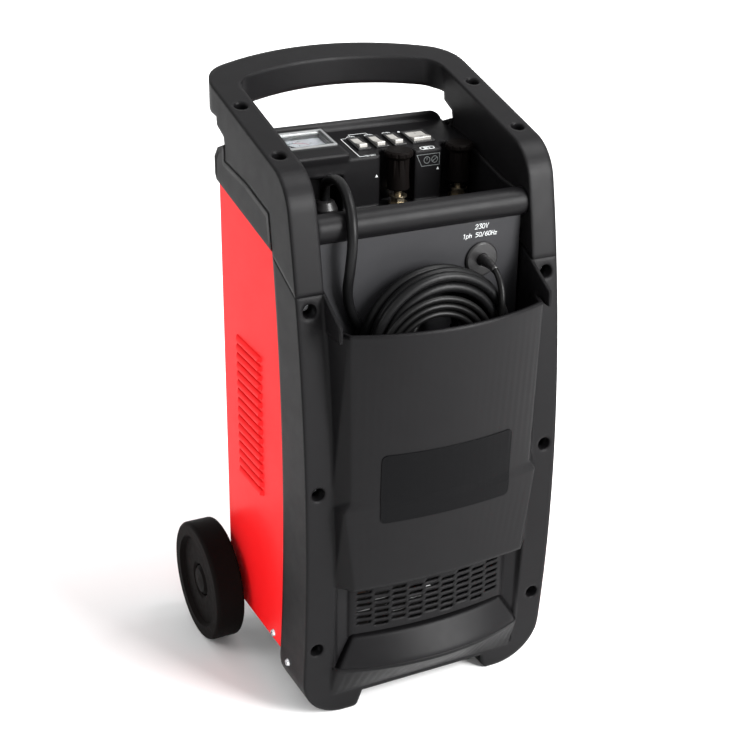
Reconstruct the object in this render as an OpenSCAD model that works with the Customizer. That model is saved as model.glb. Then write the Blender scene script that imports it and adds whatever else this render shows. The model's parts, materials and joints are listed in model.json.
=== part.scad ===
// Wheeled battery charger and starter: moulded front with a lead bin and a slotted
// air inlet, one-piece handle frame, sheet-steel casing, transformer and rectifier,
// two charging leads with clamps and a mains lead. Millimetres, +Z up, +Y to the rear.
// Y = 0 of the drawn part is halfway between the lead bin's front and the grip's back.

/* [Casing] */
// Width across the front cover and the handle rails
body_w = 280; // [264:1:300]
// Distance from the middle plane to the rear sheet
case_back = 86.5; // [84:0.5:88]
// Height of the casing's lower edge above the floor
case_z = 57; // [54:1:60]
// Height of the casing's side at its rear edge, under the band
case_top = 532; // [528:1:536]
// Thickness of the casing sheet
sheet_t = 1.2; // [0.8:0.1:2]
// How far the sheet sits inside the cover's side
sheet_in = 1; // [0.6:0.1:1.5]
// Number of louvres on each side
louvre_n = 16; // [8:1:17]
// Height from one louvre to the next
louvre_pitch = 10; // [9.5:0.1:10.6]
// Length of a louvre
louvre_len = 64; // [40:1:80]
// How far a louvre stands out of the sheet
louvre_out = 3.4; // [2:0.1:5]

/* [Front cover] */
// Radius of the bowed front, seen from the side
bow_r = 1500; // [1400:10:1700]
// Distance from the middle plane to the foremost line of the rails
bow_front = 127; // [122:1:130]
// Height of that foremost line
bow_z = 215; // [200:1:230]
// Radius of the cover's bowed rear edge
seam_r = 1650; // [1500:10:1800]
// Distance from the middle plane to that edge at its foremost
seam_front = 69.3; // [66:0.1:71]
// Height of that foremost point
seam_mid_z = 254; // [240:1:264]
// Wall thickness of the mouldings
wall = 3; // [2.5:0.1:3.5]
// Width of each rail
rail_w = 28; // [26:1:30]
// Height of the seam between cover and handle frame at the rail's front
seam_z = 469; // [466:1:472]
// Height of the same seam at the rail's rear edge
seam_back_z = 493; // [488:1:496]
// Radius of the feet's outer corners
foot_r = 50; // [42:1:54]
// Width of the flat sole of each foot
sole_w = 8; // [6:1:14]
// Height of the arch between the feet
arch_z = 20; // [14:1:26]

/* [Lead bin] */
// Half width of the bin's front between its corners
bin_half = 100; // [96:1:103]
// Height of the bin's lip
lip_z = 440; // [434:1:446]
// Height of the bin's floor
bin_floor_z = 270; // [264:1:276]
// Distance from the middle plane to the front of the lip
bin_front = 164; // [160:1:168]
// Distance from the middle plane to the front of the panel low down
bin_low_front = 149; // [145:1:152]
// Distance from the middle plane to the bin's back plate
plate_y = 85; // [83:1:86]
// Thickness of the back plate
plate_t = 3; // [2:0.1:4]

/* [Air inlet] */
// Lower edge of the inlet recess
inlet_z0 = 68; // [62:1:72]
// Upper edge of the inlet recess
inlet_z1 = 160; // [154:1:168]
// Half width of the recess at its mouth
inlet_half = 109; // [104:1:110]
// Distance from the middle plane to the slotted wall
slot_wall_y = 128; // [126:1:131]
// Number of slot columns
slot_cols = 9; // [5:2:9]
// Number of slots in a column
slot_rows = 6; // [4:1:6]
// Width from one slot column to the next
slot_px = 18.6; // [18:0.1:19]
// Height from one slot to the next
slot_pz = 7.2; // [7:0.1:7.6]
// Length of a slot
slot_len = 15; // [10:0.5:16]
// Height of a slot
slot_h = 3.4; // [2.5:0.1:4]

/* [Handle frame] */
// Slope of the handle's top
slope = 14.3; // [13:0.1:15]
// Height of the top surface over the middle plane
top_z = 594; // [590:1:598]
// Radius of the bend from rail to top
bend_r = 46; // [36:1:50]
// Distance from the middle plane to the back of the grip
grip_back = 155; // [152:1:160]
// Radius of the grip's rear outline, seen from above
grip_r = 296; // [280:1:320]
// Radius of the outline's corners
grip_corner = 40; // [32:1:46]
// Thickness of the grip, front to back
grip_w = 30; // [28:1:34]
// Height of the grip
grip_h = 27; // [24:1:30]

/* [Top housing] */
// How far the band stands out over the cover's side
band_out = 0.5; // [0.3:0.1:1]
// Distance from the middle plane to the rear of the housing
house_back = 91; // [90:1:93]
// Height of the rear rim
rim_z = 570; // [566:1:572]
// Height of the control panel at its front edge
panel_z = 552.7; // [550:0.1:555]
// Rise of the control panel towards the rear, per millimetre
panel_rise = 0.12; // [0.08:0.01:0.14]
// Position of the panel's front edge
panel_y = 18; // [16:1:20]
// Height of the terminal well's floor
well_z = 500; // [496:1:504]
// Height of the rounded nose in front of the well
nose_z = 536; // [532:1:540]
// Radius of the nose
nose_r = 14; // [12:0.5:15]
// Radius of the bays around the terminal knobs
bay_r = 20; // [18:0.5:21]
// Height of the raised plinth under the ammeter
plinth_h = 6; // [4:0.5:7]

/* [Wheels] */
// Outer diameter of a wheel
wheel_d = 134; // [126:1:140]
// Width of a wheel
wheel_w = 32; // [28:1:36]
// Gap between casing and wheel
wheel_gap = 7.3; // [6:0.1:9]
// Position of the axle behind the middle plane
axle_y = 88; // [86:1:91]
// Diameter of the axle
axle_d = 12; // [10:0.5:14]
// Radial running clearance in the wheel's bore
run_fit = 0.05; // [0.03:0.01:0.08]

/* [Controls] */
// Width of a narrow switch's frame
switch_w = 14; // [13:0.5:15]
// Length of the switches' frames
switch_len = 29; // [28:0.5:30]
// Width of the broad switch's frame
main_switch_w = 25; // [24:0.5:27]
// Spacing of the narrow switches
switch_pitch = 20; // [19:0.5:21]
// Angle of a rocker to either side
rock_angle = 9; // [7:0.5:11]
// Diameter of a terminal knob's head
knob_d = 29; // [27:0.5:29.5]
// Height of a terminal knob
knob_h = 40; // [37:0.5:41]
// Diameter of a terminal stud
stud_d = 8; // [6:0.5:10]
// Width of the ammeter
meter_w = 70; // [64:1:72]
// Length of the ammeter
meter_l = 40; // [36:1:42]

/* [Leads] */
// Diameter of the charging leads
lead_d = 10; // [9.6:0.1:10]
// Diameter of the mains lead
mains_d = 6.4; // [6.2:0.1:6.8]
// Diameter of the mains gland's flange
gland_d = 35; // [30:1:38]

/* [Transformer and rectifier] */
// Width of the transformer's core; each outer limb is a sixth of it
core_w = 120; // [112:1:126]
// Depth of the core's stack
core_d = 60; // [50:1:62]
// Height of the core
core_h = 100; // [90:1:106]
// Gap between the winding and the core's limbs
coil_play = 0.5; // [0.3:0.1:1]
// Depth of the rectifier's heat sink
sink_d = 90; // [80:1:94]
// Height of the heat sink
sink_h = 110; // [96:1:120]
// Distance from the casing's side to the heat sink's plate
sink_off = 82; // [76:1:84]

/* [Hidden] */
$fn = 64;

half_w = body_w / 2;
rail_in = half_w - rail_w;
sheet_x = half_w - sheet_in;
bow_y = bow_r - bow_front;
wheel_r = wheel_d / 2;
big = 400;
gap = 0.3;

// ---- helpers ---------------------------------------------------------------------------

// Points along an arc in the plane
function arc(c, r, a0, a1, n) =
    [for (i = [0:n]) let (a = a0 + (a1 - a0) * i / n) [c[0] + r * cos(a), c[1] + r * sin(a)]];

// Foremost line of the rails at height z, set back by d
function front_y(z, d = 0) = bow_y - sqrt(pow(bow_r - d, 2) - pow(z - bow_z, 2));

// Rear edge of the cover's side at height z, set back by d
function seam_y(z, d = 0) = seam_r - seam_front - sqrt(pow(seam_r - d, 2) - pow(z - seam_mid_z, 2));

// Height of the handle's top surface at y
function top_at(y) = top_z + tan(slope) * y;

// Extrudes a side view (Y, Z) along X between x0 and x1
module along_x(x0, x1) {
    translate([x0, 0, 0]) rotate([90, 0, 90]) linear_extrude(x1 - x0) children();
}

// Extrudes a front view (X, Z) along Y between y0 and y1
module along_y(y0, y1) {
    translate([0, y1, 0]) rotate([90, 0, 0]) linear_extrude(y1 - y0) children();
}

// Copies to both sides of the middle plane
module both_sides() {
    children();
    mirror([1, 0, 0]) children();
}

// Turns a shape drawn along +Z so that it lies along +X
module lie_x() {
    rotate([0, 90, 0]) children();
}

// Rectangle with round corners
module round_rect(w, h, r) {
    hull() {
        for (x = [-1, 1], y = [-1, 1]) translate([x * (w / 2 - r), y * (h / 2 - r)]) circle(r, $fn = 32);
    }
}

// ---- side view of rails and handle -----------------------------------------------------

// Centre of the bend from rail to top, from the bow's and the top line's own equations
bend_k = top_z - bend_r / cos(slope) - bow_z;
bend_q = bow_r - bend_r;
bend_t = tan(slope);
bend_b = bow_y - bend_k * bend_t;
bend_cy = (bend_b - sqrt(bend_b * bend_b - (1 + bend_t * bend_t)
          * (bow_y * bow_y + bend_k * bend_k - bend_q * bend_q))) / (1 + bend_t * bend_t);
bend_c = [bend_cy, top_z + bend_t * bend_cy - bend_r / cos(slope)];
bend_a = 180 - asin((bend_c[1] - bow_z) / bend_q);

function bow_angle(z, d = 0) = 180 - asin((z - bow_z) / (bow_r - d));

// Front and top outline from height z0 up, round the bend and back to y1, set in by d
function rail_outline(z0, y1, d = 0) = concat(
    arc([bow_y, bow_z], bow_r - d, bow_angle(z0, d), bend_a, 16),
    arc(bend_c, bend_r - d, bend_a, 90 + slope, 10),
    [[y1, top_at(y1) - d / cos(slope)]]
);

grip_low = grip_h / cos(slope);
band_rear_z = seam_back_z + 35;
seam_cy = seam_r - seam_front;
cover_back_y = seam_y(seam_back_z);

// Lower rear outline of the handle's sides, from the grip down to the seam
handle_under = [
    [grip_back + 6, top_at(grip_back + 6) - grip_low],
    [98, top_at(98) - grip_low],
    [84, 590],
    [83, 582],
    [66, 575],
    [64, 567],
    [64, 551],
    [10, 545],
    [cover_back_y + 7, seam_back_z + 39],
    [cover_back_y, seam_back_z]
];

// ---- plan of the handle ----------------------------------------------------------------

grip_cy = grip_back - grip_r;

// Plan of a cap: straight sides, round corners and a bowed rear
function cap_plan(hw, r, rc, y0) =
    let (cx = hw - rc, cy = grip_cy + sqrt(pow(r - rc, 2) - pow(hw - rc, 2)))
    let (a = atan2(cy - grip_cy, cx))
    concat(
        [[hw, y0]],
        arc([cx, cy], rc, 0, a, 8),
        arc([0, grip_cy], r, a, 180 - a, 24),
        arc([-cx, cy], rc, 180 - a, 180, 8),
        [[-hw, y0]]
    );

// Upright ring between two caps, set in by d on both sides
module u_ring(d = 0) {
    difference() {
        linear_extrude(2 * big) polygon(cap_plan(half_w - d, grip_r - d, grip_corner - d, -big));
        linear_extrude(4 * big, center = true)
            polygon(cap_plan(rail_in + d, grip_r - grip_w + d, grip_corner - grip_w / 2 + d, -2 * big));
    }
}

// ---- screw seats in the rails ----------------------------------------------------------

screw_x = half_w - 13;
screw_hole_d = 14;
screw_boss_d = 19;
screw_boss_l = 20;
screw_shank_d = 4.4;
screw_head_d = 8.6;
screw_low_z = [90.7, 273, 455.6];
screw_top_y = [-40, 51.8];

// Places children at each seat of the front cover, pointing into the rail
module at_cover_screws() {
    both_sides() for (z = screw_low_z) {
        translate([screw_x, front_y(z), z]) rotate([-90, 0, 0]) children();
    }
}

// The same for the seats on the handle's top
module at_handle_screws() {
    both_sides() for (y = screw_top_y) {
        translate([screw_x, y, top_at(y)]) rotate([slope + 180, 0, 0]) children();
    }
}

module screw_boss() {
    translate([0, 0, 1]) cylinder(d = screw_boss_d, h = screw_boss_l - 1);
}

module screw_bore() {
    translate([0, 0, -4]) cylinder(d = screw_hole_d, h = screw_boss_l + 1);
    translate([0, 0, -1]) cylinder(d1 = screw_hole_d + 3, d2 = screw_hole_d - 1, h = 2);
    cylinder(d = screw_shank_d + 0.4, h = screw_boss_l + 2);
}

module seated_screw() {
    translate([0, 0, screw_boss_l - 3 - 3.2]) {
        difference() {
            cylinder(d = screw_head_d, h = 3.2);
            translate([0, 0, -0.1]) cylinder(d = 4.4, h = 1.8, $fn = 6);
        }
        cylinder(d = screw_shank_d, h = 14);
    }
}

module rail_screws() {
    color([0.25, 0.25, 0.27]) {
        at_cover_screws() seated_screw();
        at_handle_screws() seated_screw();
    }
}

// ---- front cover -----------------------------------------------------------------------

sole_in = half_w - foot_r - sole_w;
arch_half = sole_in - 10;

// Front view of the cover, set in by d
function cover_outline(d = 0) = concat(
    [[half_w - d, 540]],
    arc([half_w - foot_r, foot_r], foot_r - d, 0, -90, 12),
    arc([sole_in, 6], 6 - d, -90, -160, 4),
    [[arch_half - d, arch_z + d], [d - arch_half, arch_z + d]],
    arc([-sole_in, 6], 6 - d, -20, -90, 4),
    arc([foot_r - half_w, foot_r], foot_r - d, 270, 180, 12),
    [[d - half_w, 540]]
);

// Side view of the cover, set in by d at the front and open to the rear by that much more
function cover_side(d = 0) = concat(
    arc([bow_y, bow_z], bow_r - d, bow_angle(-5, d), bow_angle(seam_z + d, d), 24),
    [[cover_back_y + d, seam_back_z + d]],
    [for (i = [0:24]) let (z = seam_back_z - (seam_back_z + 5) * i / 24) [seam_y(z, d), z]]
);

// Bin and lower panel: height, half width at the rail, half width and depth of the front
// corner, depth of the middle
panel_stations = [
    [arch_z + 5, 109, 104, -front_y(arch_z + 5) + 0.4, -front_y(arch_z + 5) + 0.6],
    [inlet_z0 - 8, 110, 106, 126, bin_low_front - 2],
    [inlet_z1 + 6, 110, 96, 142, bin_low_front],
    [256, rail_in + 1, 107, 142, (bin_low_front + bin_front) / 2 - 2],
    [266, rail_in + 1, bin_half, 141, (bin_low_front + bin_front) / 2 - 1],
    [lip_z, rail_in + 1, bin_half + 3, 143, bin_front]
];

arc_n = 24;

// Front edge of the panel in plan at one station, set in by d
function panel_plan(s, d, back) =
    let (hb = s[1] - d, hc = s[2] - d, yc = s[3] - d, ya = s[4] - d)
    let (sag = ya - yc, r = (hc * hc + sag * sag) / (2 * sag), a = asin(hc / r))
    concat(
        [[-hb, -back], [-hb, -min(yc - 1, -front_y(s[0]) - 1)]],
        [for (p = arc([0, r - ya], r, -90 - a, -90 + a, arc_n)) p],
        [[hb, -min(yc - 1, -front_y(s[0]) - 1)], [hb, -back]]
    );

// Closed loft through the stations, with lift raising the last one
module panel_loft(d, back, lift = 0) {
    n = arc_n + 5;
    last = len(panel_stations) - 1;
    rings = [for (i = [0:last]) let (s = panel_stations[i])
        [for (p = panel_plan(s, d, back)) [p[0], p[1], s[0] + (i == 0 ? d : 0) + (i == last ? lift : 0)]]];
    pts = [for (ring = rings) each ring];
    polyhedron(
        points = pts,
        faces = concat(
            [[for (j = [0:n - 1]) j]],
            [[for (j = [n - 1:-1:0]) last * n + j]],
            [for (i = [0:last - 1], j = [0:n - 1]) let (k = (j + 1) % n)
                each [[i * n + j, (i + 1) * n + j, (i + 1) * n + k],
                      [i * n + j, (i + 1) * n + k, i * n + k]]]
        ),
        convexity = 6
    );
}

slot_wall_half = slot_cols * slot_px / 2 + 3;
slot_sag = 9;
slot_r = (pow(slot_wall_half, 2) + slot_sag * slot_sag) / (2 * slot_sag);
shelf_rise = 30;

// Upright slab across the recess at y, between two heights
module inlet_slab(y, hw, z0, z1) {
    along_y(y, y + 1) translate([-hw, z0]) square([2 * hw, z1 - z0]);
}

// Recess of the air inlet, grown by d
module inlet_funnel(d = 0) {
    mouth_y = front_y(inlet_z0) - 3;
    hull() {
        inlet_slab(mouth_y, inlet_half + d, inlet_z0 - 4 - d, inlet_z1 + 4 + d);
        inlet_slab(slot_sag - slot_wall_y + 0.8, slot_wall_half + d,
            inlet_z0 + shelf_rise - d, inlet_z1 + d);
    }
    hull() {
        inlet_slab(mouth_y, inlet_half + d, inlet_z0 - 4 - d, inlet_z1 + 4 + d);
        inlet_slab(-bin_low_front - 8, inlet_half + d, inlet_z0 - 4 - d, inlet_z1 + 4 + d);
    }
}

// Curved wall that carries the slots
module slot_wall() {
    a = asin((slot_wall_half + 4) / slot_r);
    translate([0, 0, inlet_z0 + shelf_rise - 3])
        linear_extrude(inlet_z1 - inlet_z0 - shelf_rise + 6)
        polygon(concat(
            arc([0, slot_r - slot_wall_y], slot_r, -90 - a, -90 + a, arc_n),
            arc([0, slot_r - slot_wall_y], slot_r - 2.4, -90 + a, -90 - a, arc_n)
        ));
}

// Slanted slots, every second column half a step lower
module slot_cutters() {
    z_top = inlet_z1 - 15;
    for (c = [0:slot_cols - 1], r = [0:slot_rows - 1]) {
        x = (c - (slot_cols - 1) / 2) * slot_px;
        z = z_top - r * slot_pz - (c % 2) * slot_pz / 2;
        along_y(-slot_wall_y - 6, slot_sag - slot_wall_y + 6)
            polygon([for (p = [[-1, -1], [1, -1], [1, 1], [-1, 1]])
                [x + p[0] * slot_len / 2 + p[1] * 1.2, z + p[1] * slot_h / 2]]);
    }
}

// Height of the seam under the handle frame at y
function seam_line(y) = let (y0 = front_y(seam_z))
    seam_z + (seam_back_z - seam_z) * (y - y0) / (cover_back_y - y0);

// Side wall of the bin above its lip, slanting down to the lip's corner
module bin_cheek() {
    along_x(rail_in - 2, rail_in + 1) polygon([
        [-plate_y - gap, lip_z - 6], [-plate_y - gap, seam_line(-plate_y - gap)],
        [front_y(seam_z), seam_z], [-141.5, lip_z + 9], [-142.5, lip_z + 3], [-142.5, lip_z - 6]
    ]);
}

module front_cover() {
    color([0.18, 0.175, 0.18]) difference() {
        union() {
            difference() {
                intersection() {
                    along_x(-half_w, half_w) polygon(cover_side());
                    along_y(-big, big) polygon(cover_outline());
                }
                intersection() {
                    along_x(-half_w, half_w) polygon(cover_side(wall));
                    along_y(-big, big) polygon(cover_outline(wall));
                }
                along_y(-big, 0) polygon([
                    [-rail_in, nose_z + 38], [-rail_in, 250], [-108, inlet_z1], [-108, arch_z + 8],
                    [108, arch_z + 8], [108, inlet_z1], [rail_in, 250], [rail_in, nose_z + 38]
                ]);
            }
            difference() {
                panel_loft(0, plate_y + gap);
                difference() {
                    panel_loft(wall, plate_y - 20, 20);
                    translate([-big, -big, bin_floor_z - wall]) cube([2 * big, 2 * big, wall]);
                    inlet_funnel(wall);
                }
                inlet_funnel();
            }
            both_sides() bin_cheek();
            intersection() {
                slot_wall();
                inlet_funnel(wall / 2);
            }
            intersection() {
                at_cover_screws() screw_boss();
                along_x(-half_w, half_w) polygon(rail_outline(-5, 0, 1));
            }
        }
        at_cover_screws() screw_bore();
        casing_screw_bores();
        slot_cutters();
    }
}

// ---- handle ----------------------------------------------------------------------------

module handle_frame() {
    color([0.18, 0.175, 0.18]) difference() {
        union() {
            difference() {
                intersection() {
                    along_x(-half_w, half_w)
                        polygon(concat(rail_outline(seam_z + gap, grip_back + 6), handle_under));
                    u_ring();
                }
                intersection() {
                    along_x(-half_w, half_w)
                        polygon(concat(rail_outline(seam_z - 30, grip_back + 6, wall),
                            [[grip_back + 6, 300], [cover_back_y, 300]]));
                    u_ring(wall);
                }
            }
            intersection() {
                at_handle_screws() screw_boss();
                along_x(-half_w, half_w) polygon(rail_outline(seam_z, grip_back, 1));
            }
        }
        at_handle_screws() screw_bore();
    }
}

// Underside of the grip and of the handle's rear, let in between the frame's walls
module grip_cover() {
    under = [for (i = [0:5]) handle_under[i]];
    color([0.16, 0.155, 0.16]) intersection() {
        along_x(-half_w, half_w) polygon(concat(
            under, [for (i = [5:-1:0]) [under[i][0] - (i == 0 ? 0 : wall), under[i][1] + wall]]));
        u_ring(wall + gap / 2);
    }
}

// ---- top housing -----------------------------------------------------------------------

house_t = 2.5;
tray_half = rail_in - gap;
cheek_in = tray_half - house_t;
nose_y = -nose_r - (plate_y - nose_r - 6);
well_front = nose_y + nose_r + 2;

function panel_at(y) = panel_z + panel_rise * (y - panel_y);

// Side view of the band round the casing's top
band_side = [
    [cover_back_y + 1.2, seam_back_z + 4],
    [case_back + 1, case_top - 6],
    [house_back, case_top - 1],
    [house_back, case_top + 17],
    [82, case_top + 28],
    [64.4, rim_z - 2.7],
    [64.4, 550.6],
    [10, 544.6],
    [cover_back_y + 7.2 + gap, seam_back_z + 38.7]
];

// Side view of the tray between the handle's sides: nose, well, panel and rim
tray_side = concat(
    arc([nose_y, nose_z - nose_r], nose_r, 240, 0, 20),
    [
        [well_front, well_z], [panel_y, well_z], [panel_y, panel_z],
        [house_back - 4, panel_at(house_back - 4)], [house_back - 3, rim_z], [house_back, rim_z],
        [house_back, well_z - 60], [-plate_y - 1, well_z - 60]
    ]
);

plinth = [-104.5, -28.5];
neg_bay = [-85, -35];
bay_x = [25, rail_in - 17.8];
term_y = panel_y - 2.5;
bay_top = 37;

// Places children on the sloping panel, h above it
module on_panel(x, y, h = 0) {
    translate([x, y, panel_at(y)]) rotate([atan(panel_rise), 0, 0]) translate([0, 0, h]) children();
}

// Bay round a terminal knob, grown by d
module knob_bay(x, d = 0) {
    intersection() {
        translate([x, term_y, well_z - d * 2]) cylinder(r = bay_r + d, h = 100);
        translate([x - 30, -30, well_z - d * 2]) cube([60, 62 + d, 100]);
    }
}

switch_x = [for (i = [0:2]) -3.5 + i * switch_pitch];
main_switch_x = switch_x[2] + switch_w / 2 + main_switch_w / 2 + 7;
switch_y = 48;
switch_deep = 17;
meter_x = -66;
meter_y = 40 + meter_l / 2;
meter_up = plinth_h - 3.5;

// Section of the band between its side walls
module band_section() {
    difference() {
        polygon(band_side);
        offset(delta = -house_t) polygon(band_side);
        polygon([
            [-80, 400], [-80, 500], [cover_back_y + house_t + 1, seam_back_z + 12],
            [house_back - house_t, case_top + 5], [house_back - house_t, 400]
        ]);
    }
}

// What the tray's side view leaves open below: room for the bin's plate and the casing
module tray_below() {
    polygon([
        [-big, 0], [-big, nose_z - nose_r - 12.1], [-plate_y + 3, nose_z - nose_r - 12.1],
        [-plate_y + 3, well_z - house_t - 2], [case_back - 4, well_z - house_t - 2],
        [case_back - 4, case_top + 10], [case_back + 2.5, case_top + 10],
        [case_back + 2.5, case_top - 1], [big, case_top - 1], [big, 0]
    ]);
}

module tray_shell() {
    along_x(-cheek_in, cheek_in) difference() {
        polygon(tray_side);
        offset(delta = -house_t) polygon(tray_side);
        tray_below();
    }
    both_sides() along_x(cheek_in, tray_half) difference() {
        union() {
            polygon(tray_side);
            polygon([
                [nose_y, nose_z - 4], [nose_y, well_z - house_t - 3],
                [panel_y + 2, well_z - house_t - 3], [panel_y + 2, 548], [10, 547.5],
                [cover_back_y + 7, seam_back_z + 42]
            ]);
        }
        tray_below();
    }
}

module top_housing() {
    color([0.16, 0.155, 0.16]) difference() {
        union() {
            both_sides() {
                along_x(half_w, half_w + band_out) polygon(band_side);
                along_x(rail_in - house_t, half_w) band_section();
            }
            difference() {
                tray_shell();
                translate([0, 0, rim_z - 14]) along_y(house_back - 10, house_back + 10) difference() {
                    square([big, 60], center = true);
                    round_rect(2 * tray_half, 28, 13);
                    translate([-big, -80]) square([2 * big, 80]);
                }
            }
            on_panel((plinth[0] + plinth[1]) / 2, 51, plinth_h / 2 - 1)
                cube([plinth[1] - plinth[0], 68, plinth_h + 2], center = true);
            intersection() {
                for (x = bay_x) knob_bay(x, house_t / 2);
                along_x(-tray_half, cheek_in + 1) polygon([
                    [panel_y + 1, well_z - house_t], [panel_y + 1, panel_at(panel_y + 1) - 1],
                    [60, panel_at(60) - 1], [60, well_z - house_t]]);
            }
            translate([neg_bay[0] - house_t, panel_y, well_z - house_t])
                cube([neg_bay[1] - neg_bay[0] + 2 * house_t, 32, bay_top + 2 * house_t]);
        }
        for (x = bay_x) {
            intersection() {
                knob_bay(x);
                translate([-big, -big, well_z]) cube([big + cheek_in, 2 * big, big]);
            }
            translate([x, term_y, well_z - 10]) cylinder(d = stud_d, h = 20);
        }
        translate([neg_bay[0], panel_y - 1, well_z])
            cube([neg_bay[1] - neg_bay[0], 32 - house_t + 1, bay_top]);
        translate([neg_x, neg_y, well_z - 10]) cylinder(d = bushing_neck_d, h = 20);
        for (x = switch_x) on_panel(x, switch_y)
            cube([switch_w - 2, switch_len - 2, 20], center = true);
        on_panel(main_switch_x, switch_y) cube([main_switch_w - 2, switch_len - 2, 20], center = true);
        on_panel(meter_x, meter_y) cube([meter_w - 6, meter_l - 6, 44], center = true);
        on_panel(meter_x, meter_y, meter_up + 10)
            cube([meter_w + 2 * gap, meter_l + 2 * gap, 20], center = true);
    }
}

neg_x = -50;
neg_y = 28;
bushing_neck_d = 14;

module negative_bushing() {
    color([0.13, 0.13, 0.13]) translate([neg_x, neg_y, 0]) rotate_extrude() polygon([
        [lead_d / 2 + 0.1, well_z - 6], [bushing_neck_d / 2 + 2, well_z - 6],
        [bushing_neck_d / 2 + 2, well_z - house_t], [bushing_neck_d / 2, well_z - house_t],
        [bushing_neck_d / 2, well_z], [13, well_z], [13, well_z + 3], [9.5, well_z + 10],
        [7, well_z + 11], [lead_d / 2 + 0.1, well_z + 11]
    ]);
}

// ---- back plate of the lead bin --------------------------------------------------------

gland_x = 65.3;
gland_z = 470.5;

plate_half = rail_in - 4;

module bin_back_plate() {
    color([0.17, 0.165, 0.17]) difference() {
        along_y(-plate_y, plate_t - plate_y) polygon([
            [-plate_half, nose_z - nose_r - 12.5], [-plate_half, bin_floor_z - 8],
            [plate_half, bin_floor_z - 8], [plate_half, nose_z - nose_r - 12.5]
        ]);
        translate([gland_x, 0, gland_z]) rotate([90, 0, 0])
            cylinder(d = gland_d - 13, h = 2 * big, center = true);
    }
}

module mains_gland() {
    color([0.12, 0.12, 0.12]) translate([gland_x, -plate_y, gland_z]) rotate([90, 0, 0])
        rotate_extrude() polygon([
            [mains_d / 2 + 0.05, -plate_t - 4], [gland_d / 2 - 3.5, -plate_t - 4],
            [gland_d / 2 - 3.5, -plate_t], [gland_d / 2 - 6.5, -plate_t],
            [gland_d / 2 - 6.5, 0], [gland_d / 2, 0], [gland_d / 2, 2], [gland_d / 2 - 1.5, 3.2],
            [mains_d / 2 + 3.4, 3.2], [mains_d / 2 + 0.05, -1]
        ]);
}

// ---- casing ----------------------------------------------------------------------------

louvre_y = 14.5;
louvre_h = 5.6;
louvre_z0 = 294.5 - (louvre_n - 1) * louvre_pitch / 2;

// Side view of the casing's sheet
sheet_side = concat(
    [for (i = [0:20]) let (z = case_z + (492 - case_z) * i / 20) [seam_y(z) + 0.5, z]],
    [[cover_back_y + 4.6, seam_back_z + 3.5], [cover_back_y + 8, seam_back_z + 20],
     [case_back + 1, case_top + 8], [case_back + 1, case_z]]
);

// Rear corners of the sheet in plan, set in by d
module casing_plan(d) {
    translate([0, case_back - 300]) round_rect(2 * (sheet_x - d), 2 * (300 - d), max(0.5, 4.5 - d));
}

module casing() {
    color([0.85, 0.1, 0.1]) difference() {
        union() {
            intersection() {
                along_x(-half_w, half_w) polygon(sheet_side);
                linear_extrude(600) difference() {
                    casing_plan(0);
                    casing_plan(sheet_t);
                }
            }
            both_sides() for (i = [0:louvre_n - 1]) {
                translate([0, 0, louvre_z0 + i * louvre_pitch]) louvre_body();
            }
        }
        both_sides() for (i = [0:louvre_n - 1]) {
            translate([0, 0, louvre_z0 + i * louvre_pitch]) louvre_void();
        }
        translate([0, 0, 150]) along_y(case_back - 5, case_back + 5) for (i = [0:7]) {
            translate([-70, i * 12]) square([140, 4]);
        }
        translate([-big, 79, 0]) cube([2 * big, 20, 76.5]);
        casing_screw_bores();
    }
}

module louvre_body() {
    intersection() {
        along_y(louvre_y - louvre_len / 2, louvre_y + louvre_len / 2) polygon(concat(
            [[sheet_x - sheet_t / 2, 0]],
            [for (a = [0:22.5:90]) [sheet_x + louvre_out * cos(a), louvre_h * sin(a)]],
            [[sheet_x - sheet_t / 2, louvre_h]]));
        louvre_tips(0);
    }
}

module louvre_void() {
    intersection() {
        along_y(louvre_y - louvre_len / 2 + 1, louvre_y + louvre_len / 2 - 1) polygon(concat(
            [[sheet_x - sheet_t - 1, -1], [sheet_x + louvre_out - 1, -1]],
            [for (a = [0:30:90]) [sheet_x + (louvre_out - 1) * cos(a), (louvre_h - 1) * sin(a)]],
            [[sheet_x - sheet_t - 1, louvre_h - 1]]));
        louvre_tips(1);
    }
}

// Plan of a louvre with slanted ends
module louvre_tips(d) {
    h0 = louvre_y - louvre_len / 2 + d;
    h1 = louvre_y + louvre_len / 2 - d;
    linear_extrude(3 * louvre_h, center = true) polygon([
        [sheet_x - 3, h0], [sheet_x, h0], [sheet_x + louvre_out, h0 + 4],
        [sheet_x + louvre_out, h1 - 4], [sheet_x, h1], [sheet_x - 3, h1]
    ]);
}

casing_screw_at = [[-37, 64], [70, 64], [-77, 52]];

module casing_screw_bores() {
    both_sides() for (p = casing_screw_at) {
        translate([half_w - 14, p[0], p[1]]) lie_x() cylinder(d = 3.9 + 2 * run_fit, h = 20);
    }
}

module casing_screws() {
    color([0.55, 0.55, 0.57]) both_sides() for (p = casing_screw_at) {
        x = p[0] < -70 ? half_w : sheet_x;
        translate([x, p[0], p[1]]) lie_x() difference() {
            union() {
                cylinder(d1 = 8.4, d2 = 6, h = 2.4);
                translate([0, 0, -9]) cylinder(d = 3.9, h = 9.5);
            }
            translate([0, 0, 1.2]) cube([5, 1, 3], center = true);
            translate([0, 0, 1.2]) cube([1, 5, 3], center = true);
        }
    }
}

// ---- base, axle and wheels -------------------------------------------------------------

base_t = 2.5;
base_x = half_w - wall - gap;
base_z = case_z + 0.5;
ear_x = 120;
ear_t = 4;

module base_plate() {
    color([0.5, 0.5, 0.52]) difference() {
        translate([0, 0, base_z]) linear_extrude(16) base_plan(0);
        translate([0, 0, base_z + base_t]) linear_extrude(20) base_plan(base_t);
        for (i = [0:7]) translate([-60, -50 + i * 14, case_z - 1]) cube([120, 5, 5]);
        casing_screw_bores();
    }
}

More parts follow.
